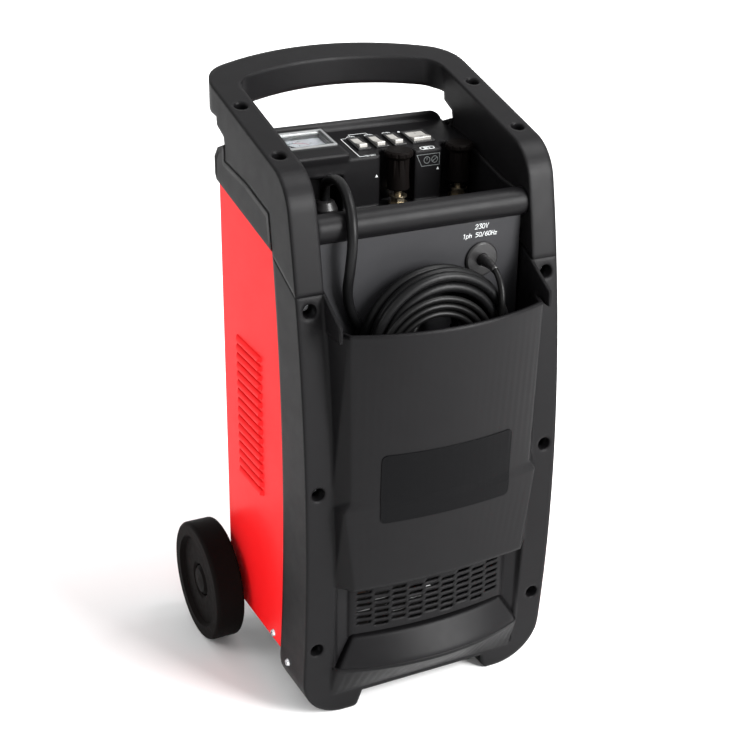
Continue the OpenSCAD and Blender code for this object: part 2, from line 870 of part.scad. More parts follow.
// Plan of the base tray, set in by d
module base_plan(d) {
    intersection() {
        casing_plan(sheet_t + 0.4 + d);
        translate([d - base_x, d - 76]) square([2 * (base_x - d), 154 - 2 * d]);
    }
}

module axle_bracket() {
    color([0.5, 0.5, 0.52]) {
        both_sides() difference() {
            along_x(ear_x, ear_x + ear_t) difference() {
                union() {
                    translate([axle_y, wheel_r]) circle(d = axle_d + 14);
                    polygon([[20, base_z], [30, case_z - 7], [axle_y, wheel_r - axle_d / 2 - 7],
                        [axle_y, base_z]]);
                }
                translate([axle_y, wheel_r]) circle(d = axle_d);
                translate([case_back - 40 + 0.5, base_z]) square([40, 40]);
                translate([70, case_z - gap]) square([case_back + 0.5 - 70, 40]);
            }
        }
        translate([-ear_x - ear_t, 20, base_z - 2]) cube([2 * (ear_x + ear_t), 50, 2]);
    }
}

wheel_x = sheet_x + 1 + wheel_gap;
axle_half = wheel_x + wheel_w - 7;

module axle() {
    color([0.7, 0.7, 0.72]) translate([-axle_half, axle_y, wheel_r]) lie_x()
        cylinder(d = axle_d, h = 2 * axle_half);
}

rim_in = wheel_r * 0.76;
hub_r = wheel_r * 0.32;
bore_r = axle_d / 2 + run_fit;

// A wheel drawn about +Z, outer face up
module wheel() {
    rotate_extrude($fn = 96) polygon(concat(
        [[bore_r, 0], [hub_r - 4, 0], [hub_r - 4, 6], [rim_in + 2, 10],
         [rim_in + 4, 2], [rim_in + 7, 0]],
        arc([wheel_r - 4, 4], 4, 270, 360, 4),
        arc([wheel_r - 4, wheel_w - 4], 4, 0, 90, 4),
        [[rim_in + 1, wheel_w], [rim_in - 2, wheel_w - 5], [hub_r, wheel_w - 5],
         [hub_r - 3, wheel_w - 7], [hub_r - 3, wheel_w - 10], [bore_r, wheel_w - 10]]
    ));
}

module wheel_left() {
    color([0.09, 0.085, 0.08]) translate([-wheel_x, axle_y, wheel_r]) rotate([0, -90, 0]) wheel();
}

module wheel_right() {
    color([0.09, 0.085, 0.08]) translate([wheel_x, axle_y, wheel_r]) rotate([0, 90, 0]) wheel();
}

module axle_caps() {
    color([0.1, 0.1, 0.1]) both_sides() translate([wheel_x + wheel_w - 10 + gap, axle_y, wheel_r]) lie_x()
        rotate_extrude() polygon([
            [0, 3 - gap], [axle_d / 2, 3 - gap], [axle_d / 2, 0], [hub_r - 5, 0],
            [hub_r - 5, 3], [hub_r - 8, 5.5], [0, 6.5]
        ]);
}

// ---- ammeter ---------------------------------------------------------------------------

frame_t = 5;
needle_len = 24.5;
needle_sweep = 42;
pivot_dy = -meter_l / 2 + 10;

module ammeter_case() {
    color([0.55, 0.55, 0.56]) on_panel(meter_x, meter_y, meter_up) difference() {
        union() {
            translate([0, 0, frame_t / 2]) cube([meter_w, meter_l, frame_t], center = true);
            translate([0, 0, -7]) cube([meter_w - 6.4, meter_l - 6.4, 18], center = true);
        }
        translate([0, 0, frame_t / 2 + 0.2 + 1]) cube([meter_w - 5, meter_l - 5, frame_t], center = true);
        translate([0, 0, 0]) cube([meter_w - 9, meter_l - 9, 8], center = true);
    }
}

module ammeter_dial() {
    color([0.93, 0.92, 0.88]) on_panel(meter_x, meter_y, meter_up) {
        translate([0, 0, -4 + 0.4]) cube([meter_w - 9, meter_l - 9, 0.8], center = true);
        translate([0, pivot_dy, -4]) cylinder(d = 2.4, h = 3.2, $fn = 24);
    }
}

module ammeter_needle() {
    color([0.05, 0.05, 0.05]) on_panel(meter_x, meter_y, meter_up)
        translate([0, pivot_dy, -2.4]) rotate(needle_sweep) {
            difference() {
                cylinder(d = 5, h = 1.2, $fn = 32);
                translate([0, 0, -1]) cylinder(d = 2.4 + 2 * run_fit, h = 4, $fn = 24);
            }
            translate([0, 0, 0.2]) linear_extrude(0.8) polygon([
                [-0.9, 2], [0.9, 2], [0.25, needle_len], [-0.25, needle_len]
            ]);
        }
}

module ammeter_window() {
    color([0.85, 0.9, 0.92]) on_panel(meter_x, meter_y, meter_up)
        translate([0, 0, frame_t - 1.4 - 1]) cube([meter_w - 5.2, meter_l - 5.2, 1.4], center = true);
}

// ---- switches --------------------------------------------------------------------------

pivot_down = 1;
rocker_half = switch_len / 2 - 3;
rocker_clear = 0.5;

module switch_body(w) {
    difference() {
        union() {
            translate([0, 0, 1]) cube([w, switch_len, 2], center = true);
            translate([0, 0, -switch_deep / 2 + 0.5])
                cube([w - 2.4, switch_len - 2.4, switch_deep], center = true);
        }
        translate([0, 0, -5]) cube([w - 5, 2 * (rocker_half + rocker_clear), 19], center = true);
    }
    for (y = [-8, 0, 8]) translate([0, y, -switch_deep - 3]) cube([min(6, w - 8), 0.8, 8], center = true);
}

// Rocker resting with its rear end down
module rocker(w) {
    r = rocker_half + 0.2;
    translate([0, 0, -pivot_down]) rotate([-rock_angle, 0, 0]) {
        along_x(-(w - 5) / 2 + 0.3, (w - 5) / 2 - 0.3) difference() {
            intersection() {
                circle(r, $fn = 72);
                polygon([[-r, -7], [-r, 4.4], [0, 3.2], [r, 4.4], [r, -7]]);
                square([2 * rocker_half - 0.6, 60], center = true);
            }
        }
        translate([-w / 2 + 2, 0, 0]) lie_x() cylinder(d = 2.6, h = w - 4, $fn = 24);
    }
}

module switch_with_bearings(w) {
    difference() {
        switch_body(w);
        translate([-w / 2 + 1.9, 0, -pivot_down]) lie_x()
            cylinder(d = 2.6 + 2 * run_fit, h = w - 3.8, $fn = 24);
    }
}

module switch_body_1() {
    color([0.1, 0.1, 0.1]) on_panel(switch_x[0], switch_y) switch_with_bearings(switch_w);
}

module switch_body_2() {
    color([0.1, 0.1, 0.1]) on_panel(switch_x[1], switch_y) switch_with_bearings(switch_w);
}

module switch_body_3() {
    color([0.1, 0.1, 0.1]) on_panel(switch_x[2], switch_y) switch_with_bearings(switch_w);
}

module main_switch_body() {
    color([0.1, 0.1, 0.1]) on_panel(main_switch_x, switch_y) switch_with_bearings(main_switch_w);
}

module rocker_1() {
    color([0.93, 0.91, 0.84]) on_panel(switch_x[0], switch_y) rocker(switch_w);
}

module rocker_2() {
    color([0.93, 0.91, 0.84]) on_panel(switch_x[1], switch_y) rocker(switch_w);
}

module rocker_3() {
    color([0.93, 0.91, 0.84]) on_panel(switch_x[2], switch_y) rocker(switch_w);
}

module main_rocker() {
    color([0.93, 0.91, 0.84]) on_panel(main_switch_x, switch_y) rocker(main_switch_w);
}

// ---- positive terminals ----------------------------------------------------------------

knob_top = 557;
stud_top = knob_top - 7;

module terminal_stud(x) {
    color([0.8, 0.66, 0.3]) translate([x, term_y, 0]) {
        translate([0, 0, well_z - 16]) cylinder(d = stud_d, h = stud_top - well_z + 16);
        translate([0, 0, well_z - house_t - 6]) cylinder(d = 15, h = 6, $fn = 6);
        translate([0, 0, well_z]) cylinder(d = 20, h = 3);
        translate([0, 0, well_z + 3]) cylinder(d = 15, h = 6, $fn = 6);
        translate([0, 0, well_z + 9]) cylinder(d = 18, h = 1.6);
    }
}

module terminal_knob(x) {
    neck_r = 9.5;
    color([0.1, 0.09, 0.085]) translate([x, term_y, knob_top - knob_h]) difference() {
        union() {
            rotate_extrude() polygon([
                [0, 0], [neck_r + 1, 0], [neck_r + 2, 1], [neck_r, knob_h - 9], [knob_d / 2 - 2, knob_h - 7],
                [knob_d / 2, knob_h - 5], [knob_d / 2, knob_h - 2], [knob_d / 2 - 2, knob_h], [0, knob_h]
            ]);
            for (i = [0:9]) rotate(i * 36) translate([neck_r - 0.4, 0, 1])
                cylinder(d = 3.4, h = knob_h - 9, $fn = 12);
        }
        translate([0, 0, -1]) cylinder(d = stud_d + 2 * run_fit, h = knob_h - 6.5 + 1);
        for (i = [0:11]) rotate(i * 30) translate([knob_d / 2 + 1.2, 0, knob_h - 12])
            cylinder(d = 4, h = 20, $fn = 12);
    }
}

module terminal_stud_12() {
    terminal_stud(bay_x[0]);
}

module terminal_stud_24() {
    terminal_stud(bay_x[1]);
}

module terminal_knob_12() {
    terminal_knob(bay_x[0]);
}

module terminal_knob_24() {
    terminal_knob(bay_x[1]);
}

// ---- inside ----------------------------------------------------------------------------

floor_z = base_z + base_t;
core_x = -25;
core_y = 8;
core_foot = 6;
core_leg = core_w / 6;
sink_x = body_w / 2 - sink_off;

module transformer_core() {
    color([0.4, 0.4, 0.42]) translate([core_x, core_y, floor_z]) {
        difference() {
            translate([-core_w / 2, -core_d / 2, core_foot]) cube([core_w, core_d, core_h]);
            for (x = [-1.5, 1.5]) translate([x * core_leg, 0, core_foot + core_h / 2])
                cube([core_leg, core_d + 2, core_h - 2 * core_leg], center = true);
        }
        both_sides() translate([core_w / 3, -core_d / 2 - 8, 0])
            cube([16, core_d + 16, core_foot]);
    }
}

// Copper winding round the middle limb, wound to the windows' width
module transformer_winding() {
    color([0.72, 0.4, 0.2]) {
        translate([core_x, core_y, floor_z + core_foot + core_leg + 1]) {
            linear_extrude(core_h - 2 * core_leg - 2) difference() {
                round_rect(4 * core_leg - 2 * coil_play, core_d + 36, 10);
                square([2 * core_leg + 0.2, core_d + 0.2], center = true);
            }
        }
    }
}

module rectifier_plate() {
    color([0.75, 0.76, 0.78]) translate([sink_x, -sink_d / 2, floor_z]) {
        cube([44, sink_d, 3]);
        cube([4, sink_d, sink_h]);
        for (i = [0:5]) translate([3, 1 + i * (sink_d - 5) / 5, 20]) cube([28, 3, sink_h - 22]);
    }
}

module rectifier_diodes() {
    color([0.3, 0.3, 0.32]) for (y = [-0.3, 0.3], z = [25, 65]) {
        translate([sink_x, y * sink_d, floor_z + sink_h - 90 + z]) rotate([0, -90, 0]) {
            cylinder(d = 17, h = 5, $fn = 6);
            translate([0, 0, 5]) cylinder(d = 13, h = 6);
            translate([0, 0, 11]) cylinder(d = 3, h = 5, $fn = 24);
        }
    }
}

module thermal_breaker() {
    color([0.12, 0.12, 0.13]) translate([sink_x + 8, 19 - sink_d / 2, floor_z + 3]) {
        cube([20, 13, 12]);
        for (x = [4, 14]) translate([x, 6, 12]) cube([6, 0.8, 7]);
    }
}

// ---- leads -----------------------------------------------------------------------------

function unit(v) = v / norm(v);

// Directions along a path
function path_dirs(p) = [for (i = [0:len(p) - 1])
    unit((i < len(p) - 1 ? p[i + 1] - p[i] : [0, 0, 0]) / (i < len(p) - 1 ? norm(p[i + 1] - p[i]) : 1)
        + (i > 0 ? p[i] - p[i - 1] : [0, 0, 0]) / (i > 0 ? norm(p[i] - p[i - 1]) : 1))];

// Side directions carried along a path without twist
function path_sides(t, u, i = 0) =
    i >= len(t) ? [] : let (v = unit(u - (u * t[i]) * t[i])) concat([v], path_sides(t, v, i + 1));

// Smooth curve through points, with n steps between two of them
function smooth_path(p, n) =
    let (m = len(p) - 1)
    concat(
        [for (i = [0:m - 1], k = [0:n - 1])
            let (
                a = i == 0 ? 2 * p[0] - p[1] : p[i - 1], b = p[i], c = p[i + 1],
                d = i == m - 1 ? 2 * p[m] - p[m - 1] : p[i + 2], s = k / n,
                l0 = norm(b - a), l1 = norm(c - b), l2 = norm(d - c),
                m1 = l1 * ((c - b) / l1 * l0 + (b - a) / l0 * l1) / (l0 + l1),
                m2 = l1 * ((c - b) / l1 * l2 + (d - c) / l2 * l1) / (l2 + l1)
            )
            (2 * s * s * s - 3 * s * s + 1) * b + (s * s * s - 2 * s * s + s) * m1
            + (3 * s * s - 2 * s * s * s) * c + (s * s * s - s * s) * m2],
        [p[m]]
    );

// Closed tube of one polyhedron along a path; ends, where given, are its end directions
module tube(p, d, sides, up = [0, 1, 0], ends = [[], []]) {
    dirs = path_dirs(p);
    t = [for (i = [0:len(dirs) - 1]) i == 0 && len(ends[0]) == 3 ? ends[0]
        : (i == len(dirs) - 1 && len(ends[1]) == 3 ? ends[1] : dirs[i])];
    u = path_sides(t, up);
    n = len(p);
    pts = [for (i = [0:n - 1]) let (v = cross(u[i], t[i])) for (j = [0:sides - 1])
        let (a = 360 * j / sides) p[i] + d / 2 * (cos(a) * u[i] + sin(a) * v)];
    polyhedron(
        points = pts,
        faces = concat(
            [[for (j = [sides - 1:-1:0]) j]],
            [[for (j = [0:sides - 1]) (n - 1) * sides + j]],
            [for (i = [0:n - 2], j = [0:sides - 1]) let (k = (j + 1) % sides)
                each [[i * sides + j, i * sides + k, (i + 1) * sides + k],
                      [i * sides + j, (i + 1) * sides + k, (i + 1) * sides + j]]]
        ),
        convexity = 10
    );
}

// Smooth cord through control points, its ends square to the first and last of them
module cord(points, d) {
    m = len(points) - 1;
    tube(smooth_path(points, 2), d, 12, [0, 1, 0.01],
        [unit(points[1] - points[0]), unit(points[m] - points[m - 1])]);
}

coil_sides = 6;
lead_pitch = lead_d + 0.6;
coil_c = [5, 402];
coil_out = 75;

// Two-layer coil in the XZ plane: in towards the middle, over to the next layer, out again
function layered_coil(c, y0, y1, r, pitch, a0, turns_in, turns_over, turns_out) =
    let (total = turns_in + turns_over + turns_out, n = round(total * 24))
    [for (i = [0:n]) let (
        w = i / 24, a = a0 + 360 * w,
        mid = turns_in + turns_over / 2,
        rr = r - pitch * mid + pitch * abs(w - mid),
        k = min(1, max(0, (w - turns_in) / turns_over)),
        y = y0 + (y1 - y0) * (3 * k * k - 2 * k * k * k)
    ) [c[0] + rr * cos(a), y, c[1] + rr * sin(a)]];

clamp_w = 24;
neg_y0 = -plate_y - lead_d / 2 - 0.5;
neg_y1 = neg_y0 - lead_pitch;
pos_y0 = neg_y1 - lead_pitch;
pos_y1 = pos_y0 - lead_pitch;
neg_coil_path = concat(
    [[coil_c[0] - coil_out, neg_y0, coil_c[1] + lead_d]],
    layered_coil(coil_c, neg_y0, neg_y1, coil_out, lead_pitch, 180, 1.25, 0.5, 1.25),
    [[coil_c[0] - coil_out, neg_y1, coil_c[1] - lead_d]]
);
pos_coil_path = concat(
    [[coil_c[0] + coil_out, pos_y0, coil_c[1] - lead_d]],
    layered_coil(coil_c, pos_y0, pos_y1, coil_out, lead_pitch, 0, 1.5, 0.5, 1.5),
    [[coil_c[0] - coil_out, pos_y1, coil_c[1] - lead_d]]
);

mains_y = pos_y1 - lead_d / 2 - mains_d / 2 - 0.5;
mains_c = [-5, 394];
plug_y = -109.9;
mains_out = 68;
mains_turns = 3.5;
mains_in = 42;
mains_coil_path = concat(
    [[mains_c[0] + mains_out, mains_y, mains_c[1] + mains_d]],
    [for (i = [0:mains_turns * 24]) let (
        a = -15 * i, r = mains_out + (mains_in - mains_out) * i / (mains_turns * 24))
        [mains_c[0] + r * cos(a), mains_y, mains_c[1] + r * sin(a)]],
    [[mains_c[0] - mains_in + 1, mains_y, mains_c[1] + mains_d]]
);

// Length of a path
function path_len(p) = len(p) < 2 ? 0 : [for (s = 0, i = 0; i < len(p); s = s + (i < len(p) - 1
    ? norm(p[i + 1] - p[i]) : 0), i = i + 1) s][len(p) - 1];

// Least distance between parts of a path more than skip rings apart
function self_gap(p, skip) = min([for (i = [0:len(p) - 1], j = [i + skip:1:len(p) - 1])
    min(norm(p[i] - p[j]), j < len(p) - 1 ? seg_dist(p[i], p[j], p[j + 1]) : big)]);

function seg_dist(q, a, b) = let (k = max(0, min(1, ((q - a) * (b - a)) / ((b - a) * (b - a)))))
    norm(q - a - k * (b - a));

neg_run_points = [
    [-50, 28, 500], [-50, 28, 510], [-50.4, 27, 517], [-51.8, 23.6, 524], [-54.5, 17, 530],
    [-59, 6, 535.5], [-63, -6, 541], [-66, -21, 547.5], [-68.5, -36, 552.5], [-71.5, -55, 554.5],
    [-75, -76, 549], [-78, -91, 538], [-80.5, -99.5, 524], [-82, -102, 508], [-83, -100, 487],
    [-83, -95, 462], [-79, -92, 445], [-73, neg_y0, 431], [-70, neg_y0, 425],
    [-70, neg_y0, coil_c[1] + lead_d]
];
tail_z = bin_floor_z + 8;
neg_tail_points = [
    [-70, neg_y1, coil_c[1] - lead_d], [-70, neg_y1, 378], [-73, neg_y1, 357], [-79, neg_y1, 335],
    [-85, neg_y1, tail_z + 33], [-87, neg_y1, tail_z + 17], [-83, neg_y1, tail_z + 5],
    [-75, neg_y1, tail_z], [-66, neg_y1, tail_z]
];
red_clamp_y = neg_y1 - clamp_w - 1.5;
pos_tail_points = [
    [-70, pos_y1, coil_c[1] - lead_d], [-70, pos_y1, 378], [-73, pos_y1 - 0.5, 357],
    [-79, pos_y1 - 2, 335], [-85, red_clamp_y + 1, tail_z + 33], [-87, red_clamp_y, tail_z + 17],
    [-83, red_clamp_y, tail_z + 5], [-75, red_clamp_y, tail_z], [-66, red_clamp_y, tail_z]
];
pos_lug_points = [
    [88, -112, 348], [88, -112, 357], [86.4, pos_y0 + 0.5, 367], [82.6, pos_y0, 378],
    [80.3, pos_y0, 385.5], [80, pos_y0, 389.5], [80, pos_y0, coil_c[1] - lead_d]
];
mains_run_points = [
    [65.3, -86, 470.5], [65.3, -95, 471], [65.2, -105, 470.5], [65, -115, 467.5], [64.6, -123.5, 461],
    [64, -129, 452.5], [63.4, mains_y - 0.5, 442], [63.1, mains_y, 432], [63, mains_y, 422],
    [63, mains_y, mains_c[1] + mains_d]
];
mains_tail_points = [for (q = [
    [-41, 0, 6.4], [-40.8, 0, 7.7], [-39, 0, 13.4], [-37.4, 0, 16.7], [-35.3, 0.007, 19.7],
    [-27.7, 0.086, 29.5], [-20.1, 0.241, 39.2], [-14.5, 0.364, 44.6], [-7.8, 0.496, 48.2],
    [-0.3, 0.629, 49.9],
    [7.4, 0.752, 49.5], [14.7, 0.858, 47], [21, 0.938, 42.6], [25.9, 0.986, 36.7],
    [28.9, 1, 29.6], [30, 1, 22], [30, 1, 19], [30, 1, 15]
]) [mains_c[0] + q[0], mains_y + (plug_y - mains_y) * q[1], mains_c[1] + q[2]]];

echo(neg_length = path_len(neg_run_points) + path_len(neg_coil_path) + path_len(neg_tail_points),
    pos_length = path_len(pos_lug_points) + path_len(pos_coil_path) + path_len(pos_tail_points),
    mains_length = path_len(mains_run_points) + path_len(mains_coil_path)
        + path_len(mains_tail_points));
echo(neg_gap = self_gap(neg_coil_path, 12) - lead_d, pos_gap = self_gap(pos_coil_path, 12) - lead_d,
    mains_gap = self_gap(mains_coil_path, 12) - mains_d);

module negative_lead_run() {
    color([0.1, 0.1, 0.1]) cord(neg_run_points, lead_d);
}

module negative_lead_coil() {
    color([0.1, 0.1, 0.1]) tube(neg_coil_path, lead_d, coil_sides);
}

module negative_lead_tail() {
    color([0.1, 0.1, 0.1]) cord(neg_tail_points, lead_d);
}

module positive_lead_lug_end() {
    color([0.12, 0.12, 0.12]) cord(pos_lug_points, lead_d);
}

module positive_lead_coil() {
    color([0.12, 0.12, 0.12]) tube(pos_coil_path, lead_d, coil_sides);
}

module positive_lead_tail() {
    color([0.12, 0.12, 0.12]) cord(pos_tail_points, lead_d);
}

module mains_lead_run() {
    color([0.08, 0.08, 0.08]) cord(mains_run_points, mains_d);
}

module mains_lead_coil() {
    color([0.08, 0.08, 0.08]) tube(mains_coil_path, mains_d, coil_sides);
}

module mains_lead_tail() {
    color([0.08, 0.08, 0.08]) cord(mains_tail_points, mains_d);
}

module positive_lug() {
    color([0.8, 0.66, 0.3]) translate(pos_lug_points[0]) {
        translate([0, 0, -10]) difference() {
            cylinder(d = lead_d + 3, h = 18);
            translate([0, 0, 10]) cylinder(d = lead_d + 0.15, h = 20);
        }
        translate([0, 0, -32]) difference() {
            union() {
                translate([-8, -1.5, 10]) cube([16, 3, 14]);
                translate([0, 1.5, 10]) rotate([90, 0, 0]) cylinder(d = 16, h = 3);
            }
            translate([0, 5, 8]) rotate([90, 0, 0]) cylinder(d = stud_d + 0.5, h = 10);
        }
    }
}

plug_x = mains_c[0] + 30;
plug_z = mains_c[1] - 20.2;

module mains_plug() {
    color([0.1, 0.1, 0.1]) translate([plug_x, plug_y, plug_z]) difference() {
        union() {
            rotate_extrude() polygon([
                [0, 0], [16, 0], [17.5, 1.5], [17.5, 13], [15.5, 16], [14.5, 29], [11, 33], [5.5, 34],
                [5.2, 43], [mains_d / 2 + 0.08, 43], [mains_d / 2 + 0.08, 40], [0, 40]
            ]);
        }
        for (a = [0:30:330]) rotate(a) translate([17.5, -1.2, 17.5]) cube([6, 2.4, 14], center = false);
        translate([0, 0, 34]) cylinder(d = mains_d + 0.15, h = 20);
        for (y = [-9.5, 9.5]) translate([0, y, -1]) cylinder(d = 4.8 + 2 * run_fit, h = 4.2);
    }
}

module plug_pins() {
    color([0.78, 0.78, 0.8]) for (y = [-9.5, 9.5]) translate([plug_x, plug_y + y, plug_z - 19])
        rotate_extrude() polygon([[0, 0], [1.6, 0], [2.4, 1], [2.4, 22], [0, 22]]);
}

// ---- clamps ----------------------------------------------------------------------------

clamp_x = 3;
clamp_z = bin_floor_z + 35;
black_clamp_y = neg_y1;
pin_d = 6;
jaw_w = clamp_w - 4 - 0.6;

// Side view of the lower half: handle on the left, jaw on the right, pivot at the origin
lower_side = [
    [-72, -34.7], [76, -34.7], [77, -24.5], [72, -21.5], [69, -23.5], [65, -21], [62, -23], [58, -20.5],
    [55, -22.5], [51, -20], [48, -22], [42, -19], [20, -5], [9, 6], [4, 8.5], [-4, 8.5], [-9, 6],
    [-20, -8], [-40, -17], [-72, -19]
];

upper_side = [
    [-66, 8], [-40, 5], [-12, -4], [-8, -7], [8, -8], [24, -13], [42, -18.2], [48, -21.2], [51, -19.2],
    [55, -21.7], [58, -19.7], [62, -22.2], [65, -20.2], [69, -22.7], [72, -20.7], [76.4, -23.7],
    [76, -14], [60, -6], [34, 6], [12, 13], [-4, 14.5], [-30, 15], [-66, 14.5]
];

module clamp_base(y) {
    translate([clamp_x, y, clamp_z]) {
        difference() {
            along_y(-clamp_w / 2, clamp_w / 2) polygon(lower_side);
            along_y(2 - clamp_w / 2, clamp_w / 2 - 2) polygon([
                [-70, -32.7], [44, -32.7], [44, 20], [-70, 20]
            ]);
            translate([-76, 0, bin_floor_z + 8 - clamp_z]) lie_x() cylinder(d = lead_d + 0.15, h = 12);
            translate([44.5, 0, -18]) cube([2, jaw_w + 0.6, 20], center = true);
        }
        translate([0, -clamp_w / 2, 0]) rotate([-90, 0, 0]) cylinder(d = pin_d, h = clamp_w);
        for (s = [-1, 1]) translate([0, s * clamp_w / 2, 0]) rotate([90, 0, 0])
            cylinder(d = 10, h = 1.2, center = true);
        translate([-69.9, 0, bin_floor_z + 8 - clamp_z]) lie_x() difference() {
            cylinder(d = lead_d + 2.6, h = 9);
            translate([0, 0, -1]) cylinder(d = lead_d, h = 11);
        }
    }
}

module clamp_jaw(y) {
    translate([clamp_x, y, clamp_z]) difference() {
        along_y(-jaw_w / 2, jaw_w / 2) polygon(upper_side);
        along_y(2 - jaw_w / 2, jaw_w / 2 - 2) polygon([
            [-70, -30], [-70, 12.6], [-30, 13], [-4, 12.5], [12, 11], [34, 4], [40, 0], [40, -30]
        ]);
        translate([0, 0, 0]) rotate([90, 0, 0]) cylinder(d = pin_d + 2 * run_fit, h = 60, center = true);
    }
}

// Torsion spring round the pivot pin with one leg along the lower handle
module clamp_spring(y) {
    wire = 1.8;
    r = pin_d / 2 + 0.4 + wire / 2;
    turns = 4;
    helix = [for (i = [0:turns * 16]) let (a = 200 + 22.5 * i)
        [r * cos(a), -4.6 + 9.2 * i / (turns * 16), r * sin(a)]];
    leg = [for (k = [6:-1:1]) helix[0] + [-k * 6, 0, -k * 2.6] - [0, 0, 1.2]];
    translate([clamp_x, y, clamp_z]) tube(concat(leg, helix), wire, 8);
}

module black_clamp_base() {
    color([0.1, 0.1, 0.1]) clamp_base(black_clamp_y);
}

module black_clamp_jaw() {
    color([0.1, 0.1, 0.1]) clamp_jaw(black_clamp_y);
}

module black_clamp_spring() {
    color([0.6, 0.6, 0.62]) clamp_spring(black_clamp_y);
}

module red_clamp_base() {
    color([0.75, 0.08, 0.08]) clamp_base(red_clamp_y);
}

module red_clamp_jaw() {
    color([0.75, 0.08, 0.08]) clamp_jaw(red_clamp_y);
}

module red_clamp_spring() {
    color([0.6, 0.6, 0.62]) clamp_spring(red_clamp_y);
}

// ---- drawing ---------------------------------------------------------------------------

// Brings the middle of the whole to Y = 0
module placed() {
    translate([0, (bin_front - grip_back) / 2, 0]) children();
}

placed() front_cover();
placed() handle_frame();
placed() grip_cover();
placed() top_housing();
placed() bin_back_plate();
placed() casing();
placed() base_plate();
placed() axle_bracket();
placed() axle();
placed() wheel_left();
placed() wheel_right();
placed() axle_caps();
placed() ammeter_case();
placed() ammeter_dial();
placed() ammeter_needle();
placed() ammeter_window();
placed() switch_body_1();
placed() switch_body_2();
placed() switch_body_3();
placed() main_switch_body();
placed() rocker_1();
placed() rocker_2();
placed() rocker_3();
placed() main_rocker();
placed() terminal_stud_12();
placed() terminal_stud_24();
placed() terminal_knob_12();
placed() terminal_knob_24();
placed() negative_bushing();
placed() mains_gland();
placed() negative_lead_run();
placed() negative_lead_coil();
placed() negative_lead_tail();
placed() positive_lead_lug_end();
placed() positive_lead_coil();
placed() positive_lead_tail();
placed() mains_lead_run();
placed() mains_lead_coil();
placed() mains_lead_tail();
placed() positive_lug();
placed() mains_plug();
placed() plug_pins();
placed() black_clamp_base();
placed() black_clamp_jaw();
placed() black_clamp_spring();
placed() red_clamp_base();
placed() red_clamp_jaw();
placed() red_clamp_spring();
placed() transformer_core();
placed() transformer_winding();
placed() rectifier_plate();
placed() rectifier_diodes();
placed() thermal_breaker();
placed() rail_screws();
placed() casing_screws();
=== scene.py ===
"""Looks of the wheeled battery charger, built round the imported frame.

The frame is in metres, +Z up, with the front at -Y. Shapes here are written in millimetres
in the coordinates of part.scad. PLACED and MM bring them into the frame.
"""
import bpy
from math import atan, cos, hypot, pi, radians, sin, tan
from mathutils import Matrix, Vector
from mathutils.bvhtree import BVHTree
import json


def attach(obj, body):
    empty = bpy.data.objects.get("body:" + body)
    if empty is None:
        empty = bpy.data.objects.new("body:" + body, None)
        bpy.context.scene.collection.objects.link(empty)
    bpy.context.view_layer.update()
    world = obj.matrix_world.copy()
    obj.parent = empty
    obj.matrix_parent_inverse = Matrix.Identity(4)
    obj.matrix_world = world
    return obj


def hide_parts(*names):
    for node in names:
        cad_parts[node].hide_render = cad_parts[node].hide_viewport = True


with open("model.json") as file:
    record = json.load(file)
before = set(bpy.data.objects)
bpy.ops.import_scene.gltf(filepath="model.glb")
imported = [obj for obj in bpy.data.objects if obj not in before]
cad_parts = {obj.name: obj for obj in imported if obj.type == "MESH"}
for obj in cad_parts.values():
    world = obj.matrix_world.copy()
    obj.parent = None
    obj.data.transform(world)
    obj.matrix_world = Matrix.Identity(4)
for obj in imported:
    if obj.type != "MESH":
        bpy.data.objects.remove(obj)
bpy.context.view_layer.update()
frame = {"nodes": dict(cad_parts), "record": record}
MM = 0.001
PLACED = Vector((0.0, 4.5, 0.0))
ACROSS, REARWARD, UP = Vector((1, 0, 0)), Vector((0, 1, 0)), Vector((0, 0, 1))


# ---- camera, floor and light ------------------------------------------------------------

VIEW_AZIMUTH, VIEW_ELEVATION, VIEW_ROLL = radians(-28.43), radians(25.95), radians(1.66)
VIEW_SPOT = Vector((-656.4, -1287.2, 994.1))
SENSOR_WIDTH, LENS, SHIFT_X, SHIFT_Y, VIEW_FAR = 36, 73.48, -0.0531, 0.0391, 50

# In metres, watts and degrees.
FLOOR_HALF, FLOOR_WHITE, WORLD_WHITE = 14, 0.80, 0.86
WHOLE_SPREAD, SWEEP_SPREAD = 180, 85
LIGHTS = {
    # name: place, aim, size, power, spread
    "key_high": ((1.15, -1.95, 1.6), (0, -0.1, 0.3), 1.0, 110, WHOLE_SPREAD),
    "key_low": ((1.35, -2.3, 0.85), (0, -0.1, 0.45), 0.9, 64, WHOLE_SPREAD),
    "kicker": ((-1.0, -1.6, 0.3), (-0.1, -0.1, 0.25), 0.5, 4, WHOLE_SPREAD),
    "fill_left": ((-2.2, 0.4, 2.0), (-0.1, 0, 0.35), 1.2, 17, WHOLE_SPREAD),
    "top": ((0.9, -0.3, 2.3), (0, 0, 0.45), 1.1, 40, WHOLE_SPREAD),
    "sweep": ((4.8, 2.0, 2.4), (2.0, 3.7, 0), 2.5, 200, SWEEP_SPREAD),
}


